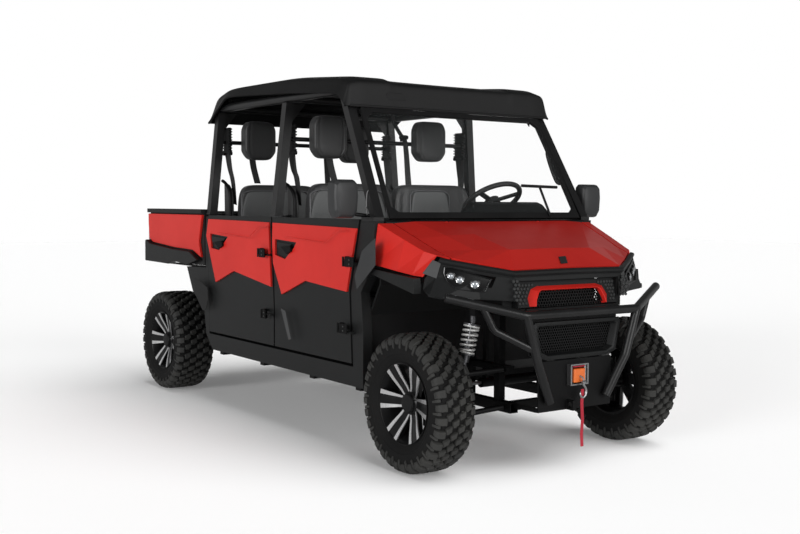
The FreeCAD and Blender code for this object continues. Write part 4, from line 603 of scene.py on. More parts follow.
def sew(points, half, face_axis, run_axis, lines, width, depth):
    """Sewn channels: one face drops by depth times a bell curve of the distance to each line."""
    share = np.clip(points[:, face_axis] / half[face_axis], 0, 1) ** 2
    drop = sum(np.exp(-(((points[:, run_axis] - line) / width) ** 2)) for line in lines)
    points[:, face_axis] -= depth * drop * share


def pad(low, high, power, cells, face_axis, channels, lean=0.0, crown=0.0, corner=(0.0, 0.0)):
    """A cushion between two corners, with channels and a crown on one face, leaning back with its height.

    corner narrows its top and its foot: x is scaled by 1 - corner * (height share beyond 0.55)."""
    low, high = np.asarray(low), np.asarray(high)
    half = (high - low) / 2
    points, faces = soft_block(half, power, cells)
    others = [k for k in range(3) if k != face_axis]
    dome = np.prod([1 - np.clip(points[:, k] / half[k], -1, 1) ** 2 for k in others], axis=0)
    points[:, face_axis] += crown * dome * np.clip(points[:, face_axis] / half[face_axis], 0, 1)
    for channel in channels:
        sew(points, half, face_axis, *channel)
    up_share = points[:, 2] / half[2]
    top, foot = (np.clip((share - 0.55) / 0.45, 0, 1) for share in (up_share, -up_share))
    points[:, 0] *= 1 - corner[0] * top - corner[1] * foot
    if face_axis == 1:
        points[:, 1] *= -1
    points[:, 1] += lean * (points[:, 2] + half[2])
    return points + (low + high) / 2, faces


cushions, inserts, pipes = [], [], []
for start, seat_z in ((0.730, 0.6203), (1.610, 0.6403)):
    for x in (-0.30, 0.30):
        low, high = (x - 0.298, start, seat_z), (x + 0.298, start + 0.428, seat_z + 0.132)
        channels = [(1, (-0.10, 0.0, 0.10), 0.007, 0.010), (0, (-0.21, 0.21), 0.008, 0.009)]
        cushions.append(pad(low, high, 7, 21, 2, channels, crown=0.010))
        low, high = (x - 0.297, start + 0.430, seat_z + 0.02), (x + 0.297, start + 0.510, 1.430)
        channels = [(2, (-0.18, 0.31), 0.007, 0.007), (0, (-0.24, 0.24), 0.008, 0.009)]
        cushions.append(pad(low, high, 9, 24, 1, channels, lean=LEAN, crown=0.008, corner=(0.05, 0)))
    for low_x, high_x in ((-0.599, -0.075), (0.112, 0.412)):
        low, high = (low_x, start + 0.426, seat_z + 0.16), (high_x, start + 0.464, 1.388)
        channels = [(2, (-0.22, -0.10, 0.02, 0.14), 0.005, 0.005)]
        inserts.append(pad(low, high, 14, 26, 1, channels, lean=LEAN, crown=0.004, corner=(0.16, 0.1)))
        z = np.array([seat_z + 0.17, 1.30, 1.384, 1.392, 1.384, 1.30, seat_z + 0.17])
        middle, half = (low_x + high_x) / 2, (high_x - low_x) / 2
        x = middle + half * np.array([-0.92, -1.012, -0.86, 0.0, 0.86, 1.012, 0.92])
        y = start + 0.424 + LEAN * (z - seat_z - 0.02)
        pipes.append(tube(smooth_line(np.stack([x, y, z], -1), 60), 0.0030, 6))
seat_pads = piece("seat_cushions", cushions, vinyl, sharp=60)
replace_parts(seat_pads, "seats")
seat_inserts = piece("seat_inserts", inserts, grey_vinyl, sharp=60)
piping = skin("pale_piping", (0.11, 0.11, 0.115), (0.085, 0.085, 0.09), 0.5, 900.0, 0.0001)
piece("seat_piping", pipes, piping, sharp=60)

# Headrests.
# Four pads of foam under black vinyl, with a channel down each side of the face and chamfered lower corners.
# Each is carried by a headrest bar of the cage, behind an outer place.

rests = []
for back, middle_z in ((1.3547, 1.703), (2.2437, 1.720)):
    for x in (-0.420, 0.320):
        low, high = (x - 0.113, back - 0.088, middle_z - 0.126), (x + 0.113, back, middle_z + 0.126)
        channels = [(0, (-0.082, 0.082), 0.005, 0.005)]
        rests.append(pad(low, high, 7, 24, 1, channels, crown=0.005, corner=(0.16, 0.30)))
headrest_pads = piece("headrest_pads", rests, vinyl, sharp=60)
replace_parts(headrest_pads, "headrests")
for soft in (seat_pads, seat_inserts, headrest_pads):
    smoothing = soft.modifiers.new("smoothing", "SUBSURF")
    smoothing.levels = smoothing.render_levels = 1

# Belts and hip bars.
# Woven black belts hang from height adjusters with ribbed edges on the pillars, and from the roof's middle.
# A bent tube with a padded shield stands beside each seat; it is powder coated.

woven_black = (0.010, 0.010, 0.0105), (0.017, 0.017, 0.0175)
belt_weave = skin("black_webbing", *woven_black, 0.72, 1100.0, 0.0005, spread=0.3)


def rod(half, radius, end_radius, centre, way, side, segments):
    """A round bar of twice the half length, whose last 2 mm at each end taper to the end's radius."""
    profile = [(-half, end_radius), (0.002 - half, radius), (half - 0.002, radius), (half, end_radius)]
    return lathe(profile, centre, way, side, segments)


def ribbon(path, wide, thick, across):
    """A flat strap along a path: a thin rectangle whose broad side lies along the across vector."""
    across = np.asarray(across, float) / np.linalg.norm(across)
    flat = np.cross(np.gradient(path, axis=0), across)
    flat /= np.linalg.norm(flat, axis=1, keepdims=True)
    wide = np.broadcast_to(np.asarray(wide, float), (len(path),))[:, None]
    corners = [(-1, -1), (-0.96, 1), (0.96, 1), (1, -1)]
    return closed_grid(np.stack([path + across * wide / 2 * a + flat * thick / 2 * b for a, b in corners], 1))


def bent_tube(line, hand, count, radius, around):
    """A round tube along a smooth line that is given for the left side; hand -1 mirrors it to the right."""
    return tube(smooth_line(np.array(line) * [hand, 1, 1], count), radius, around)


belts, holders, bars, shields = [], [], [], []
bar_line = aside([(0.03, 1.425), (-0.02, 1.405), (-0.075, 1.350), (-0.085, 1.23), (-0.085, 1.02)], 0.650)
shield = [(0.03, 1.415), (-0.02, 1.398), (-0.058, 1.365), (-0.074, 1.31), (-0.078, 1.20), (-0.078, 1.03)]
shield.append((0.02, 1.03))
for hand in (-1, 1):
    for y0, z0, y1, lift in ((1.385, 1.690, 1.345, 0.0), (2.235, 1.715, 2.190, 0.03)):
        base = np.array([hand * 0.628, y0, z0])
        holders.append(box(base + [-0.011, -0.036, -0.078], base + [0.011, 0.036, 0.085]))
        for k in range(9):
            for edge in (-0.044, 0.044):
                tooth = base + [0, edge, -0.07 + 0.0175 * k]
                holders.append(box(tooth + [-0.009, -0.009, 0], tooth + [0.009, 0.009, 0.009]))
        for edge in (-0.043, 0.043):
            holders.append(rod(0.012, 0.013, 0.006, base + [0, edge, -0.082], ACROSS, (0, 1, 0), 18))
        line = [(0.628, y0, z0 - 0.07), (0.622, (y0 + y1) / 2, z0 - 0.18)]
        line += [(0.612, y1, 1.45), (0.60, y1 - 0.01, 1.30)]
        path = smooth_line(np.array(line) * [hand, 1, 1], 24)
        belts.append(ribbon(path, np.linspace(0.088, 0.044, 24), 0.0022, (0, 1, 0.15)))
        bars.append(bent_tube(bar_line + [0, y0, lift], hand, 28, 0.0105, 12))
        shields.append(side_slab(np.array(shield) + [y0, lift], hand * 0.640, -hand * 0.022))
middle_belt = [(0.08, 0, 1.885), (0.088, 0, 1.82), (0.125, -0.02, 1.745), (0.155, -0.03, 1.69)]
middle_belt.append((0.168, -0.05, 1.43))
for x, y in ((0.0, 1.36), (-0.05, 2.25)):
    path = smooth_line(np.array(middle_belt) + [x, y, 0], 30)
    belts.append(ribbon(path, np.linspace(0.030, 0.046, 30), 0.0022, ACROSS))
    knob = np.array([0.138 + x, y - 0.03, 1.722])
    holders.append(box(knob + [-0.020, -0.012, -0.022], knob + [0.020, 0.008, 0.018]))
    holders.append(rod(0.03, 0.013, 0.008, knob + [0.002, -0.004, 0.004], ACROSS, (0, 1, 0), 18))
    line = np.array([(-0.42, -0.06, 1.60), (-0.415, -0.07, 1.54), (-0.392, -0.08, 1.44)])
    belts.append(ribbon(smooth_line(line + [x, y, 0], 12), 0.046, 0.0022, ACROSS))
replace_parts(piece("belt_webbing", belts, belt_weave, sharp=40), "seat_belts")
piece("belt_adjusters", holders, black_plastic, bevel=0.002)
piece("hip_bars", bars, powder_coat, sharp=60)
piece("hip_shields", shields, vinyl, bevel=0.007, segments=3)

# Dash and steering wheel.
# The dash is a black moulded shell from pillar to pillar, with a hump over the gauges on the driver's side.
# It carries a round gauge, slotted vents and a row of switches. The steering wheel has a padded black grip.


def smooth_step(value, low, high):
    """0 below low, 1 above high, and a soft S between them."""
    share = np.clip((value - low) / (high - low), 0, 1)
    return share * share * (3 - 2 * share)


x = np.linspace(-0.655, 0.655, 132)[:, None]
section = [(0.424, 1.224, 0.0), (0.470, 1.232, 0.35), (0.520, 1.236, 0.85), (0.560, 1.236, 1.0)]
section += [(0.588, 1.226, 0.92), (0.598, 1.190, 0.55), (0.582, 1.110, 0), (0.545, 1.050, 0)]
section += [(0.480, 1.040, 0), (0.424, 1.080, 0)]
y, z, share = np.array(section).T
hump = 0.090 * smooth_step(x, -0.03, 0.065) * (1 - smooth_step(x, 0.57, 0.64))
ends = 0.018 * np.clip((np.abs(x) - 0.60) / 0.055, 0, 1) ** 2
dash_grid = np.stack(np.broadcast_arrays(x, y, z + hump * share - ends * (share > 0)), -1)
cowl = [(0.290, 1.150), (0.290, 1.219), (0.300, 1.224), (0.420, 1.234), (0.420, 1.218), (0.306, 1.150)]
column = [(0.030, 0.026), (0.034, 0.031), (0.20, 0.034), (0.205, 0.030)]
column_way = (0, -math.sin(math.radians(24)), -math.cos(math.radians(24)))
shells = [closed_grid(dash_grid), side_slab(cowl, -0.690, 1.38)]
shells.append(lathe(column, (0.340, 0.700, 1.330), column_way, ACROSS, 24))
for x in (-0.52, -0.18, 0.58):
    for z in 1.148 + 0.011 * np.arange(5):
        shells.append(box((x - 0.045, 0.590, z), (x + 0.045, 0.596, z + 0.004)))
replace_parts(piece("dash_body", shells, black_plastic, sharp=40, bevel=0.001), "dash")
gloss = (0.006, 0.006, 0.0065), (0.008, 0.008, 0.0085)
gloss_black = skin("gloss_black_plastic", *gloss, 0.12, 300.0, 0.0, spread=0.05, Coat_Weight=0.8)
gauge = [(-0.01, 0.040), (0.006, 0.045), (0.012, 0.044), (0.012, 0.040), (0.006, 0.038)]
fittings = [lathe(gauge, (0.34, 0.588, 1.275), (0, math.cos(0.16), math.sin(0.16)), ACROSS, 40)]
fittings += [box((x, 0.592, 1.150), (x + 0.020, 0.600, 1.182)) for x in 0.02 + 0.026 * np.arange(6)]
glove = [(-0.44, 1.075), (-0.20, 1.075), (-0.20, 1.150), (-0.44, 1.150)]
fittings.append(slab([(x, 0.572 + (z - 1.075) * 0.17, z) for x, z in glove], (0, 0.012, 0)))
piece("dash_fittings", fittings, gloss_black, bevel=0.0025)
grip_foam = skin("steering_grip_foam", (0.011, 0.011, 0.0115), (0.017, 0.017, 0.017), 0.62, 1500.0, 0.0003)
dress(grip_foam, "steering_wheel")

# Hood and fenders.
# Red plastic, moulded in flat facets that meet at soft edges and polished to a low gloss.
# The hood hinges at its rear edge, and the fenders are screwed on. A blank badge place is on the front facet.

reds = (0.56, 0.021, 0.015), (0.51, 0.018, 0.013)
red_plastic = skin("red_moulded_plastic", *reds, 0.36, 1600.0, 0.00006, spread=0.14, gleam=0.2)
rounded("hood", red_plastic, 0.005, 3, sharp=4)
rounded("fenders", red_plastic, 0.004, 3, sharp=8)
badge = [(-0.0164, -0.2547, 1.0494), (0.0367, -0.2493, 1.0512), (0.0055, -0.2994, 1.0189)]
badge.append((-0.0451, -0.3044, 1.0173))
badge_out = np.array([0.0284, -0.5545, 0.8317])
piece("badge_place", [slab(badge, badge_out * 0.0025)], gloss_black, bevel=0.0008)

# Fascia and upper grille.
# Dark grey moulded panels under the hood, with a rolled lip along the top and pale facets beside the lamps.
# The grille's panel leans back in them: raised hexagons round a red surround, and a deep honeycomb inside it.

rounded("fascia", grey_plastic, 0.004, 3, sharp=8)
pale = (0.050, 0.051, 0.052), (0.040, 0.041, 0.042)
pale_plastic = skin("pale_grey_plastic", *pale, 0.42, 1300.0, 0.00015, spread=0.2, gleam=0.25)


def swept(path, outs, section):
    """A strip along a path: the section's first number goes along each point's out vector, its second up."""
    path, outs, section = (np.asarray(values, float) for values in (path, outs, section))
    points = path[:, None] + outs[:, None] * section[None, :, :1]
    points[..., 2] += section[None, :, 1]
    return closed_grid(points)


def whole(half):
    """A line from the right side to the left, from its left half, which starts on the middle plane."""
    half = np.asarray(half, float)
    return np.vstack([half[:0:-1] * [-1, 1, 1], half])


def both(points):
    """The same points, and the points mirrored to the other side."""
    return [points, np.asarray(points) * [-1, 1, 1]]


lip_path = whole([(0, -0.331, 0.991), (0.361, -0.318, 0.987), (0.506, -0.222, 1.016), (0.655, -0.113, 1.048)])
lip_outs = whole([(0, -1, 0), (0.28, -1.0, 0), (0.59, -0.81, 0), (0.59, -0.81, 0)])
roll = [(-0.004, 0.007), (0.013, 0.004), (0.019, -0.003), (0.018, -0.013), (0.010, -0.023), (-0.004, -0.025)]
# A thin black strip just under the lip: painted shadow of the lip's overhang, not a real seal.
lip_shadow_strip = [(-0.004, -0.026), (0.005, -0.026), (0.0035, -0.040), (-0.004, -0.041)]
piece("fascia_lip", [swept(lip_path, lip_outs, roll)], grey_plastic, bevel=0.0015)
piece("fascia_lip_shadow_strip", [swept(lip_path, lip_outs, lip_shadow_strip)], black_plastic)
facet = [(-0.6753, -0.0844, 1.0419), (-0.6555, -0.1244, 1.0279), (-0.6823, -0.1255, 0.9555)]
facet.append((-0.7162, -0.0582, 0.9772))
facet_out = np.array([-0.8067, -0.5054, 0.3062]) * 0.003
facets = [slab(outline, way) for outline, way in zip(both(facet), both(facet_out))]
piece("fascia_end_facets", facets, pale_plastic, bevel=0.001)


def leaned(x, w, n):
    """A place on the upper grille's plane, which leans back: x across, w up along it, n out of it."""
    lean = math.radians(12)
    y = -0.321 + w * math.sin(lean) - n * math.cos(lean)
    return np.stack(np.broadcast_arrays(x, y, 0.812 + w * math.cos(lean) + n * math.sin(lean)), -1)


def on_fascia(x, z, n):
    """A place on the fascia's front facet beside the grille, n out of it."""
    y = np.interp(z, [0.845, 0.930, 0.991], [-0.350, -0.3365, -0.3245]) - n
    return np.stack(np.broadcast_arrays(x, y, z), -1)


def on_lower_grille(x, z, n):
    """A place on the lower grille's upright plane, n out of it."""
    return np.stack(np.broadcast_arrays(x, -0.350 - n, z), -1)


def cell_centres(pitch, low, high):
    """Middles of a honeycomb's cells between two corners: even rows, and odd rows moved by half a pitch."""
    rows = np.arange(low[1], high[1], pitch * 0.866)
    u, v = np.meshgrid(np.arange(low[0], high[0], pitch), rows)
    u = u + (np.arange(len(rows))[:, None] % 2) * pitch / 2
    return np.stack([u.ravel(), v.ravel()], -1)


def hexagon_rings(centres, steps, place):
    """For each centre a hexagon at every (radius, height) step, put into space by the place function."""
    angle = np.arange(6) * np.pi / 3 + np.pi / 6
    radius, height = np.array(steps).T[:, None, :, None]
    u, v = centres.T[:, :, None, None]
    return place(u + radius * np.cos(angle), v + radius * np.sin(angle), height)


def within(cells, half, more):
    """The cells whose middles lie inside an outline, given as its half and widened by more."""
    return cells[np.abs(cells[:, 0]) < np.interp(cells[:, 1], half[:, 1], half[:, 0]) + more]


def ring(half):
    """A closed outline from its left half: up its right side and down its left."""
    return np.vstack([half * [-1, 1], half[::-1]])


def upright(outline, y):
    """An outline of (x, z) corners in the upright plane at y, which faces forwards."""
    return np.array([(x, y, z) for x, z in outline])


trim_out = np.array([(0.266, 0.004), (0.272, 0.046), (0.245, 0.090), (0.200, 0.104)])
trim_in = np.array([(0.236, 0.000), (0.228, 0.032), (0.206, 0.070), (0.190, 0.079)])
frame_out = np.array([(0.200, 0.556), (0.266, 0.575), (0.298, 0.725), (0.280, 0.742)])
frame_in = np.array([(0.196, 0.586), (0.231, 0.606), (0.256, 0.705), (0.246, 0.716)])
panel = [(-0.332, 0.0), (0.332, 0.0), (0.332, 0.128), (-0.332, 0.128)]
opening = [(-0.238, 0.001), (0.238, 0.001), (0.196, 0.080), (-0.196, 0.080)]
steps = ((panel, 0), (panel, -0.008), (opening, -0.008), (opening, 0))
panels = closed_grid([leaned(*np.array(line).T, depth) for line, depth in steps], wrap_rows=True)

raised = [(0.0092, -0.001), (0.0085, 0.0032), (0.0062, 0.0046)]
cells = cell_centres(0.0205, (-0.325, 0.020), (0.330, 0.125))
trim_edge = np.interp(cells[:, 1], trim_out[:, 1], trim_out[:, 0])
clear = (np.abs(cells[:, 0]) > trim_edge + 0.014) | (cells[:, 1] > 0.113)
relief = [many(hexagon_rings(cells[clear & (np.abs(cells[:, 0]) < 0.326)], raised, leaned))]
beside = cell_centres(0.0205, (0.349, 0.855), (0.372, 0.945))
relief += [many(hexagon_rings(beside * [side, 1], raised, on_fascia)) for side in (1, -1)]
mid_tone = (0.030, 0.031, 0.031), (0.022, 0.023, 0.023)
relief_grey = skin("relief_grey_plastic", *mid_tone, 0.4, 1300.0, 0.0001, gleam=0.3)
piece("grille_relief", relief, relief_grey, sharp=20)
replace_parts(piece("grille_panels", [panels], grey_plastic, sharp=24), "grille")

duct = [box((x, -0.246, 0.79), (far_x, -0.24, 0.975)) for x, far_x in ((-0.345, 0.245), (0.272, 0.345))]
duct.append(box((-0.337, -0.335, 0.790), (0.337, -0.24, 0.808)))
duct.append(box((-0.337, -0.318, 0.9405), (0.337, -0.24, 0.9455)))
duct += [box((x - 0.003, -0.320, 0.8), (x + 0.003, -0.24, 0.945)) for x in (-0.3345, 0.3345)]
duct.append(box((-0.304, -0.347, 0.735), (0.304, -0.334, 0.808)))
duct.append(slab(upright(ring(frame_out), -0.330), (0, 0.012, 0)))
duct += [box((x, -0.282, 0.79), (x + 0.065, -0.277, 0.94)) for x in (-0.400, 0.335)]
piece("grille_ducts", duct, black_plastic)

full_out, full_in = ring(trim_out), ring(trim_in)
slope = full_in + (full_out - full_in) * 0.22
top = full_in + (slope - full_in) * 0.4
steps = [(full_out, -0.002), (slope, 0.020), (top, 0.023), (full_in, 0.021), (full_in, -0.012)]
surround = closed_grid(np.stack([leaned(*line.T, height) for line, height in steps], 1))
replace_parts(piece("grille_surround", [surround], red_plastic, bevel=0.001), "grille_trim")

deep_wall = [(0.0099, -0.012), (0.0099, -0.022), (0.0080, -0.022), (0.0078, -0.012)]
deep = within(cell_centres(0.0172, (-0.232, 0.004), (0.236, 0.080)), trim_in, -0.002)
fine_wall = [(0.00862, 0.0), (0.00862, -0.008), (0.0068, -0.008), (0.0066, 0.0)]
fine = within(cell_centres(0.0150, (-0.246, 0.592), (0.250, 0.716)), frame_in, 0.001)
meshes = ((deep, deep_wall, leaned), (fine, fine_wall, on_lower_grille))
piece("grille_mesh", [many(hexagon_rings(*mesh), wrap_rows=True) for mesh in meshes], black_plastic, sharp=20)
full_in, wall = ring(frame_in), ring(frame_out) - ring(frame_in)
steps = ((1, -0.349), (1, -0.383), (0.55, -0.387), (0.3, -0.384), (0, -0.352))
lower_frame = closed_grid([upright(full_in + wall * share, y) for share, y in steps], wrap_rows=True)
piece("lower_grille_frame", [lower_frame], grey_plastic, bevel=0.0012)

# Headlamps.
# A glossy black housing stands proud of the fascia on each side, on a matt black floor.
# Three projectors stand in it: a bright ring round a glass lens, each on a stepped black barrel.

lamp_h = np.array([0.2528, 0.2162, 0.0268, 0.0357, 0.0536, 0.1054, 0.197, 0.237, 0.2556])
lamp_z = np.array([1.0098, 1.007, 0.9533, 0.938, 0.8919, 0.8946, 0.9062, 0.9426, 0.9822])


def on_lamp(h, z, n):
    """A place on the lamp's face over the fascia: h outwards from its inner end, z above ground, n out."""
    inner = 0.0875 * (1.016 - z) - 0.011
    outer = np.maximum(0.27 * (1.048 - z) - 0.0107, 0.40 * (0.962 - z) + 0.0125)
    n = n + 0.003 + inner + (outer - inner) * np.clip((h - 0.09) / 0.19, -0.4, 1)
    return np.stack([-0.44 - 0.8064 * h - 0.5914 * n, -0.284 + 0.5914 * h - 0.8064 * n, z], -1)


def lamp_rings(steps):
    """The lamp's outline at (share of its size, height over its face) steps, for both sides."""
    h, z = lamp_h.mean(), lamp_z.mean()
    return both([on_lamp(h + (lamp_h - h) * share, z + (lamp_z - z) * share, n) for share, n in steps])


rim = [(1.04, -0.012), (1.04, 0.005), (1.0, 0.008), (0.965, 0.007), (0.94, -0.010)]
shells = [closed_grid(side, wrap_rows=True) for side in lamp_rings(rim)]
floors = [closed_grid(side) for side in lamp_rings([(0.99, -0.020), (0.99, 0.001), (0.96, 0.0015)])]
blackest = (0.003, 0.003, 0.0032), (0.0045, 0.0045, 0.0045)
lamp_black = skin("lamp_housing_black", *blackest, 0.3, 300.0, 0.0, spread=0.1, gleam=0.15)
piece("headlamp_floors", floors, lamp_black)
barrel = [(0, 1.35), (0.003, 1.35), (0.0035, 1.2), (0.006, 1.18), (0.0065, 1.02), (0.004, 0.95)]
bezel = [(0.0035, 0.98), (0.0085, 0.98), (0.0095, 0.90), (0.0085, 0.80), (0.004, 0.78)]
dome = [(0.003, 0.80), (0.006, 0.78), (0.0095, 0.62), (0.0115, 0.36), (0.0122, 0.04)]
bright, glasses = [], []
for h, z, radius in ((0.2219, 0.967, 0.0165), (0.179, 0.949, 0.0185), (0.1057, 0.928, 0.0195)):
    for hand in (-1, 1):
        centre, way = on_lamp(h, z, 0.0) * [-hand, 1, 1], (0.5914 * hand, -0.8064, 0)
        for solids, profile, segments in ((shells, barrel, 32), (bright, bezel, 32), (glasses, dome, 24)):
            solids.append(lathe(np.array(profile) * [1, radius], centre, way, UP, segments))
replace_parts(piece("headlamp_housings", shells, gloss_black, bevel=0.0008), "headlamps")
silver = (0.85, 0.85, 0.86), (0.8, 0.8, 0.81)
chrome = skin("bright_reflector", *silver, 0.12, 300.0, 0.0, spread=0.05, Metallic=1.0)
piece("headlamp_rings", bright, chrome)
glass_tint = (0.5, 0.53, 0.56), (0.42, 0.45, 0.48)
clear_coat = {"Metallic": 0.6, "Coat_Weight": 1.0}
lens_glass = skin("projector_glass", *glass_tint, 0.05, 300.0, 0.0, spread=0.02, **clear_coat)
piece("headlamp_lenses", glasses, lens_glass)

# Bumper and front plate.
# The bumper is bent from round tube and powder coated, with upswept ends and a loop down to the plate.
# The plate behind it is folded steel; it carries the winch and a tow ear.

bumper_coat = (0.0075, 0.0075, 0.0078), (0.011, 0.011, 0.0113)
tube_coat = skin("bumper_powder_coat", *bumper_coat, 0.34, 1300.0, 0.0002, gleam=0.35)
dress(tube_coat, "bumper")
rounded("skid_plate", powder_coat, 0.0015)

# Winch.
# A black motor and drum between two end plates, with a thin plated fairlead frame in front of an orange block.
# The rope ends in a forged hook, and a red pull strap of woven webbing hangs from it.

steel = skin("plated_steel", (0.42, 0.42, 0.43), (0.33, 0.33, 0.33), 0.32, 500.0, 0.00008, Metallic=0.95)
drum = [(-0.11, 0.030), (-0.108, 0.044), (-0.100, 0.044), (-0.098, 0.038), (0.098, 0.038), (0.100, 0.044)]
drum += [(0.11, 0.044), (0.112, 0.03)]
cover = [(-0.018, 0.040), (-0.016, 0.047), (0.010, 0.047), (0.016, 0.041), (0.018, 0.02)]
body = [lathe(drum, (0, -0.310, 0.460), ACROSS, UP, 40)]
for x in (-0.128, 0.128):
    body.append(lathe(cover, (x, -0.310, 0.460), (x, 0, 0), UP, 40))
    body.append(box((x - 0.012, -0.3615, 0.4125), (x + 0.012, -0.262, 0.4235)))
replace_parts(piece("winch_body", body, black_plastic, bevel=0.001), "winch")
steps = ((0.060, 0.0525, -0.373), (0.060, 0.0525, -0.403), (0.0535, 0.046, -0.403), (0.0535, 0.046, -0.373))
fairlead = [upright([(-a, -b), (a, -b), (a, b), (-a, b)], y) + [0, 0, 0.4735] for a, b, y in steps]
plated = [closed_grid(fairlead, wrap_rows=True)]
plated += [rod(0.048, 0.0065, 0.004, (x, -0.389, 0.4735), UP, ACROSS, 20) for x in (-0.046, 0.046)]
hook = [(0.004, 0.440), (0.004, 0.424), (0.016, 0.410), (0.022, 0.392), (0.016, 0.372), (0.002, 0.362)]
hook = smooth_line(upright(hook + [(-0.012, 0.368), (-0.018, 0.382), (-0.015, 0.392)], -0.425), 44)
hook_radius = np.interp(np.linspace(0, 1, 44), [0, 0.1, 0.5, 0.9, 1], [0.005, 0.006, 0.0072, 0.005, 0.002])
plated += [tube(hook, hook_radius, 12), tube([(-0.006, -0.425, 0.437), (0.014, -0.425, 0.437)], 0.009, 16)]
piece("fairlead_and_hook", plated, steel, bevel=0.0012)
orange = skin("orange_block", (0.75, 0.16, 0.02), (0.62, 0.12, 0.015), 0.4, 700.0, 0.0001, spread=0.2)
piece("winch_stopper", [box((-0.038, -0.404, 0.434), (0.038, -0.374, 0.503))], orange, bevel=0.006, segments=3)
strap_weave = skin("red_webbing", (0.42, 0.01, 0.03), (0.30, 0.008, 0.02), 0.8, 900.0, 0.0004)
piece("winch_red_bar", [box((-0.047, -0.407, 0.512), (0.030, -0.375, 0.5175))], strap_weave, bevel=0.001)
rope_line = [(0.0, -0.340, 0.468), (0.0, -0.400, 0.466), (0.003, -0.421, 0.458), (0.004, -0.425, 0.444)]
rope = skin("winch_rope", (0.30, 0.30, 0.31), (0.20, 0.20, 0.21), 0.55, 1200.0, 0.0006, Metallic=0.6)
piece("winch_rope", [tube(smooth_line(rope_line, 20), 0.0042, 10)], rope)
dress(strap_weave, "hook_strap")

# Windshield and wiper.
# A flat clear pane in a black rubber gasket leans between the front pillars.
# A black wiper arm stands at its foot.

glazing = {"Base Color": (0.35, 0.38, 0.38, 1), "Roughness": 0.04, "Specular IOR Level": 0.15, "Alpha": 0.015}
dress(plain_material("clear_pane", glazing)[0], "windshield")
rounded("windshield_gasket", black_plastic, 0.002)
rounded("wiper", black_plastic, 0.002)

# Mirrors.
# A chamfered shell of dark grey plastic on a short arm beyond each front pillar, with glass in its back.
# A bright bent bracket holds the arm on the pillar.

shell_tone = (0.034, 0.035, 0.036), (0.028, 0.029, 0.030)
shell_grey = skin("mirror_shell_plastic", *shell_tone, 0.42, 1300.0, 0.00015, gleam=0.25)
side = np.array([(0.052, 0.098), (0.071, 0.080), (0.076, 0.02), (0.070, -0.066), (0.048, -0.098)])
mirror_line = np.vstack([side[:1] * [-1, 1], side, side[:0:-1] * [-1, 1]])
shell_steps = [(0.62, -0.052), (0.84, -0.046), (0.95, -0.034), (1.0, -0.012), (1.0, 0.022), (0.95, 0.027)]
glass_steps = [(0.86, 0.0255), (0.85, 0.0285)]
arm = [(0.845, 0.440, 1.30), (0.800, 0.440, 1.262), (0.735, 0.425, 1.250), (0.690, 0.405, 1.246)]
bracket = [(0.690, 0.395, 1.365), (0.735, 0.400, 1.372), (0.737, 0.402, 1.262), (0.724, 0.402, 1.250)]
bracket.append((0.676, 0.395, 1.252))
shells, arms, glass, brackets = [], [], [], []
for hand in (-1, 1):
    centre = [hand * 0.860, 0.440, 1.335]
    for solids, steps in ((shells, shell_steps), (glass, glass_steps)):
        solids.append(closed_grid([upright(mirror_line * scale, y) + centre for scale, y in steps]))
    arms.append(bent_tube(arm, hand, 16, 0.010, 12))
    brackets.append(bent_tube(bracket, hand, 26, 0.0036, 8))
    brackets.append(tube([(hand * 0.737, 0.396, 1.29), (hand * 0.737, 0.408, 1.29)], 0.007, 8))
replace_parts(piece("mirror_shells", shells, shell_grey, sharp=20, bevel=0.003, segments=3), "mirrors")
piece("mirror_arms", arms, black_plastic)
mirror_tint = (0.72, 0.75, 0.76), (0.7, 0.73, 0.74)
mirror_glass = skin("mirror_glass", *mirror_tint, 0.03, 300.0, 0.0, spread=0.01, Metallic=1.0)
piece("mirror_glass", glass, mirror_glass)
piece("mirror_brackets", brackets, steel)

# Doors.
# Four half doors: dark grey moulded shells with a red upper skin, a raised line on it and a flat handle.
# Each hangs on two black pins whose fixed leaves are bolted to the pillar; the front ones have a pale stripe.

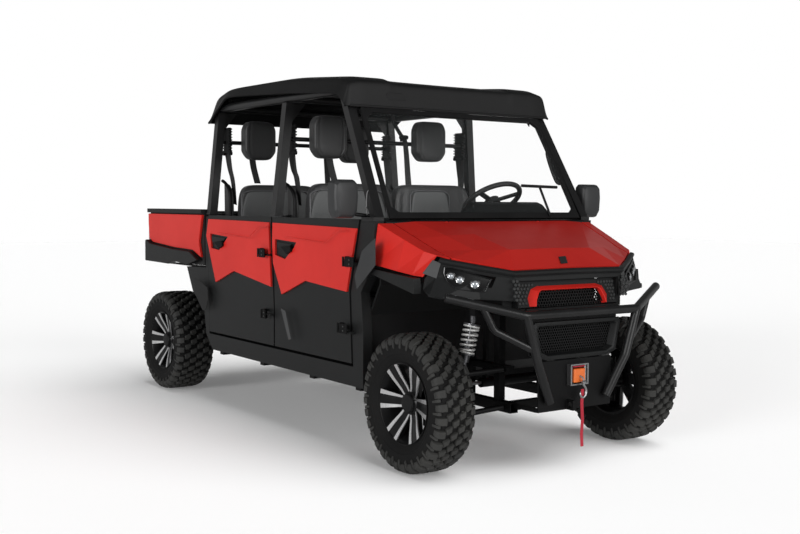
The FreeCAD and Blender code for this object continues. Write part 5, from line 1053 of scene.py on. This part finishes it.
hinge_tone = (0.003, 0.003, 0.0031), (0.005, 0.005, 0.0051)
hinge_paint = skin("hinge_paint", *hinge_tone, 0.55, 900.0, 0.0002, gleam=0.12)
bolt_steel = skin("bolt_steel", (0.12, 0.12, 0.118), (0.08, 0.08, 0.078), 0.45, 400.0, 0.0001, Metallic=0.9)
lever = np.array([(1.226, 1.062), (1.118, 1.073), (1.112, 1.040), (1.160, 1.022)])
crease = [(1.15, 1.123), (0.837, 1.108), (0.729, 1.103), (0.67, 1.133), (0.60, 1.170), (0.50, 1.174)]
stripe = [(1.203, 0.710), (1.150, 0.699), (1.084, 0.546), (1.113, 0.539)]
front_pins = (0, -0.145, 0.989), ((0.510, 1.010, 0.085), (0.561, 0.660, 0.072))
rear_pins = (0, 0.117, 0.993), ((1.461, 1.019, 0.066), (1.419, 0.660, 0.036))
for end, back, (pin_way, pins) in (("front", 0.0, front_pins), ("rear", 0.8802, rear_pins)):
    for side, hand in (("left", 1), ("right", -1)):
        door = f"{end}_{side}_door"
        rounded(door, grey_plastic, 0.003)
        rounded(door + "_skin", red_plastic, 0.003, 3)
        moving, bolts, leaves = [side_slab(lever + [back, 0], hand * 0.775, hand * 0.014)], [], []
        for y, z, reach in pins:
            for start, stop, plates in ((y + 0.012, y + 0.024, moving), (y - reach, y - 0.018, leaves)):
                outline = [(start, z - 0.026), (stop, z - 0.026), (stop, z + 0.026), (start, z + 0.026)]
                plates.append(side_slab(outline, hand * 0.798, hand * 0.007))
            moving.append(rod(0.027, 0.0155, 0.011, (hand * 0.788, y, z), pin_way, ACROSS, 24))
            for bolt_z in (z - 0.011, z + 0.011):
                bolt = (hand * 0.804, y - reach / 2 - 0.006, bolt_z)
                bolts.append(lathe([(0, 0.0052), (0.004, 0.005), (0.0048, 0.0035)], bolt, (hand, 0, 0), UP, 6))
        piece(door + "_hinges", moving, hinge_paint, door, bevel=0.0018)
        piece(door + "_bolts", bolts, bolt_steel)
        piece(door + "_hinge_leaves", leaves, hinge_paint, bevel=0.0018)
        line = tube(aside(crease, hand * 0.7972) + [0, back, 0], 0.0021, 8)
        piece(door + "_line", [line], red_plastic, door)
        if end == "front":
            plate = side_slab(stripe, hand * 0.7965, hand * 0.0025)
            piece(door + "_stripe", [plate], pale_plastic, door, bevel=0.0006)

# Arch columns.
# A paler plate on the column ahead of the front door is a painted highlight on that facet, and a black plate
# behind the rear door is painted shade where the arch has a recess.
# Both are thin moulded plates that lie on the side frames.

column = [(0.231, 1.139), (0.229, 1.005), (0.399, 0.873), (0.421, 0.938), (0.353, 1.071), (0.271, 1.119)]
painted_recess_shade = [(2.392, 0.815), (2.290, 0.800), (2.185, 0.764), (2.175, 0.690), (2.215, 0.615), (2.260, 0.610)]
painted_recess_shade.append((2.378, 0.714))
plates = ("arch_column_facets", column, shell_grey), ("arch_recesses", painted_recess_shade, lamp_black)
for name, outline, finish in plates:
    piece(name, [side_slab(outline, hand * 0.7962, hand * 0.002) for hand in (-1, 1)], finish, bevel=0.0006)

# Cage.
# Steel pillars and rails, welded and powder coated.
# A bent grab handle with a black plastic grip is fixed inside each front pillar.

dress(tube_coat, "cage_rails")
rounded("cage_pillars", tube_coat, 0.006, 3)
grab = [(0.690, 0.560, 1.640), (0.672, 0.585, 1.630), (0.668, 0.560, 1.560), (0.676, 0.505, 1.450)]
grab.append((0.694, 0.478, 1.440))
piece("grab_handles", [bent_tube(grab, hand, 30, 0.013, 14) for hand in (-1, 1)], black_plastic, sharp=60)

# Roof.
# One sheet of black plastic, formed over soft creases, with raised sides, a visor and long ribs on its top.
# A black lip closes the visor's lower edge, and a clip stands on the visor.

roof_tone = (0.006, 0.006, 0.0062), (0.009, 0.009, 0.0092)
roof_plastic = skin("black_roof_plastic", *roof_tone, 0.5, 800.0, 0.00035, gleam=0.2)
across = (0, 400, 440, 615, 690, 726)
behind_and_above = (
    ((632, 632, 632, 632, 636, 640), (1834, 1834, 1834, 1832, 1830, 1828)),
    ((642, 642, 640, 646, 652, 662), (1962, 1964, 1970, 1970, 1957, 1852)),
    ((715, 715, 712, 720, 726, 735), (1984, 1986, 1998, 1998, 1982, 1903)),
    ((1300,) * 6, (2024, 2027, 2041, 2043, 2026, 1944)),
    ((2060,) * 6, (2026, 2030, 2044, 2045, 2034, 1985)),
    ((2260, 2260, 2258, 2260, 2255, 2200), (1988, 1990, 2000, 2003, 1990, 1900)),
    ((2378, 2378, 2378, 2376, 2368, 2325), (1838, 1838, 1838, 1838, 1836, 1832)),
)
roof_rows = np.array([whole(np.stack([across, *row], -1) / 1000) for row in behind_and_above])


def soft_sheet(rows, cells, passes, wall):
    """A moulded sheet. Corner points are joined straight on a fine grid; then each point takes the mean of its
    neighbours a few times, which rounds the creases; the same surface moved inwards by the wall closes it."""
    u, v = (np.linspace(0, n - 1, (n - 1) * cells + 1) for n in rows.shape[:2])
    i, j = np.minimum(u.astype(int), len(rows) - 2), np.minimum(v.astype(int), rows.shape[1] - 2)
    a, b = (u - i)[:, None, None], (v - j)[None, :, None]
    fine = (1 - a) * ((1 - b) * rows[i][:, j] + b * rows[i][:, j + 1])
    fine = fine + a * ((1 - b) * rows[i + 1][:, j] + b * rows[i + 1][:, j + 1])
    for _ in range(passes):
        fine[1:-1] = (fine[:-2] + 2 * fine[1:-1] + fine[2:]) / 4
        fine[:, 1:-1] = (fine[:, :-2] + 2 * fine[:, 1:-1] + fine[:, 2:]) / 4
    window = smooth_step(fine[..., 1], 0.90, 1.02) * (1 - smooth_step(fine[..., 1], 1.95, 2.05))
    ribs = np.exp(-(((np.abs(np.abs(fine[..., 0]) - 0.21) - 0.09) / 0.022) ** 2))
    fine[..., 2] += 0.006 * ribs * window
    normal = np.cross(np.gradient(fine, axis=0), np.gradient(fine, axis=1))
    normal /= np.linalg.norm(normal, axis=2, keepdims=True)
    normal *= np.sign(normal[len(u) // 2, len(v) // 2, 2])
    return closed_grid(np.concatenate([fine, (fine - normal * wall)[:, ::-1]], 1))


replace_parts(piece("roof_shell", [soft_sheet(roof_rows, 12, 6, 0.010)], roof_plastic, sharp=50), "roof")
lip = whole([(0.0, 0.630, 1.832), (0.615, 0.632, 1.832), (0.690, 0.637, 1.832)])
lip_section = [(-0.008, 0.008), (0.004, 0.006), (0.006, 0.0), (0.004, -0.007), (-0.008, -0.008)]
clip = [(-0.463, 1.905), (-0.437, 1.913), (-0.358, 1.913), (-0.327, 1.876), (-0.452, 1.872)]
lip_shells = [swept(lip, [(0, -1, 0)] * 5, lip_section), slab(upright(clip, 0.634), (0, 0.014, 0))]
piece("visor_lip", lip_shells, black_plastic, bevel=0.002)

# Cargo bed.
# A tipping tub of black moulded plastic with ribs on its floor, and red sides.
# Grey flares stand over the wheels, and a tailgate with a latch closes the back.

liner = (0.009, 0.009, 0.0092), (0.014, 0.014, 0.0142)
bed_plastic = skin("bed_liner_plastic", *liner, 0.6, 600.0, 0.0005, spread=0.3, gleam=0.3)
rounded("bed_tub", bed_plastic, 0.004)
rounded("bed_sides", red_plastic, 0.004, 3)
rounded("bed_flares", grey_plastic, 0.006, 3)
rounded("tailgate", bed_plastic, 0.004)
ribs = [box((x - 0.016, 2.36, 0.868), (x + 0.016, 3.22, 0.879)) for x in np.linspace(-0.62, 0.62, 12)]
piece("bed_floor_ribs", ribs, bed_plastic, "cargo_bed", bevel=0.003)
latch = [box((-0.085, 3.2725, 1.140), (0.085, 3.276, 1.205))]
latch.append(box((-0.060, 3.276, 1.160), (0.060, 3.282, 1.182)))
piece("tailgate_latch", latch, hinge_paint, "tailgate", bevel=0.0015)

# Tail lamps.
# A red plastic lens with nine ridges on each rear corner of the bed.
# It turns with the bed, as it is screwed to the bed's sides.

lens_reds = (0.35, 0.008, 0.008), (0.3, 0.006, 0.006)
tail_lens = skin("tail_lamp_lens", *lens_reds, 0.14, 300.0, 0.0, Coat_Weight=1.0)
low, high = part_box("tail_lamps")
start, end = low.y - FRONT + 0.003, high.y - FRONT - 0.001
pitch = (high.z - low.z - 0.008) / 9
lenses = []
for x in (-0.762, 0.7055):
    for z in low.z + 0.004 + pitch * np.arange(9):
        lenses.append(box((x, start, z), (x + 0.0565, end, z + pitch - 0.0012)))
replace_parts(piece("tail_lamp_lenses", lenses, tail_lens, "cargo_bed", bevel=0.001), "tail_lamps")

# Floor, light and camera.
# A pale floor runs on into a pale background, under large soft lights, as in a product studio.
# The camera stands where the photograph was taken from, in front of the right side.

matt_white = {"Roughness": 0.9, "Specular IOR Level": 0.0}
matt_white |= {"Emission Color": (1, 1, 1, 1), "Emission Strength": 0.12}
paper, tree, sheet = plain_material("pale_paper", matt_white)
mirrored_rays = add_node(tree, "LightPath").outputs["Is Glossy Ray"]
direct_and_mirrored = {0: mirrored_rays, 6: (0.86, 0.86, 0.86, 1), 7: (0.3, 0.3, 0.3, 1)}
paper_tone = add_node(tree, "Mix", {"data_type": "RGBA"}, direct_and_mirrored)
tree.links.new(paper_tone.outputs[2], sheet.inputs["Base Color"])
floor = bpy.data.meshes.new("floor")
floor.from_pydata([(-30, -30, 0), (30, -30, 0), (30, 30, 0), (-30, 30, 0)], [], [(0, 1, 2, 3)])
floor = bpy.data.objects.new("floor", floor)
floor.data.materials.append(paper)
bpy.context.scene.collection.objects.link(floor)

# The studio is white all round and dark under its ceiling: brightness falls with the height of the direction.
world = bpy.data.worlds.new("studio")
bpy.context.scene.world = world
world.use_nodes = True
sky = world.node_tree
backdrop = sky.nodes["Background"].inputs
height = add_node(sky, "SeparateXYZ", {}, {0: add_node(sky, "TexCoord").outputs["Generated"]}).outputs["Z"]
fall = {"Value": height, "From Min": 0.19, "From Max": 0.5, "To Min": 0.5, "To Max": 0.1}
fall = add_node(sky, "MapRange", {"interpolation_type": "SMOOTHSTEP"}, fall).outputs[0]
seen = add_node(sky, "LightPath").outputs["Is Camera Ray"]
strength = add_node(sky, "Math", {"operation": "MAXIMUM"}, {0: fall, 1: seen}).outputs[0]
backdrop["Color"].default_value = (1, 1, 1, 1)
sky.links.new(strength, backdrop["Strength"])

for name, way, spread, power in (
    ("key", (-1.0, -0.25, 0.2), 28, 1.8),
    ("front", (0.15, -1.0, 0.22), 34, 1.55),
    ("overhead", (0.3, -0.45, 1.0), 60, 2.3),
):
    light = bpy.data.lights.new(name, "SUN")
    light.angle = math.radians(spread)
    light.energy = power
    lamp = bpy.data.objects.new(name, light)
    lamp.rotation_mode = "QUATERNION"
    lamp.rotation_quaternion = Vector(way).to_track_quat("Z", "Y")
    bpy.context.scene.collection.objects.link(lamp)
    if name == "overhead":
        whitened = bpy.data.collections.new("whitened_floor")
        whitened.objects.link(floor)
        lamp.light_linking.receiver_collection = whitened

bpy.context.scene.view_settings.view_transform = "Standard"

YAW, TILT, ROLL = 0.609395, -0.057513, 0.005770
camera_data = bpy.data.cameras.new("camera")
camera_data.sensor_width = 36.0
camera_data.lens = 1090.88 * 36.0 / 800.0
camera = bpy.data.objects.new("camera", camera_data)
bpy.context.scene.collection.objects.link(camera)
ahead = Vector((math.cos(TILT) * math.sin(YAW), math.cos(TILT) * math.cos(YAW), math.sin(TILT)))
right = Vector((math.cos(YAW), -math.sin(YAW), 0))
above = right.cross(ahead)
rolled_right = right * math.cos(ROLL) + above * math.sin(ROLL)
rolled_above = above * math.cos(ROLL) - right * math.sin(ROLL)
turn = Matrix((rolled_right, rolled_above, -ahead)).transposed().to_4x4()
camera.matrix_world = Matrix.Translation((-3.7994, FRONT - 4.2856, 1.3090)) @ turn
bpy.context.scene.camera = camera

bpy.context.view_layer.update()
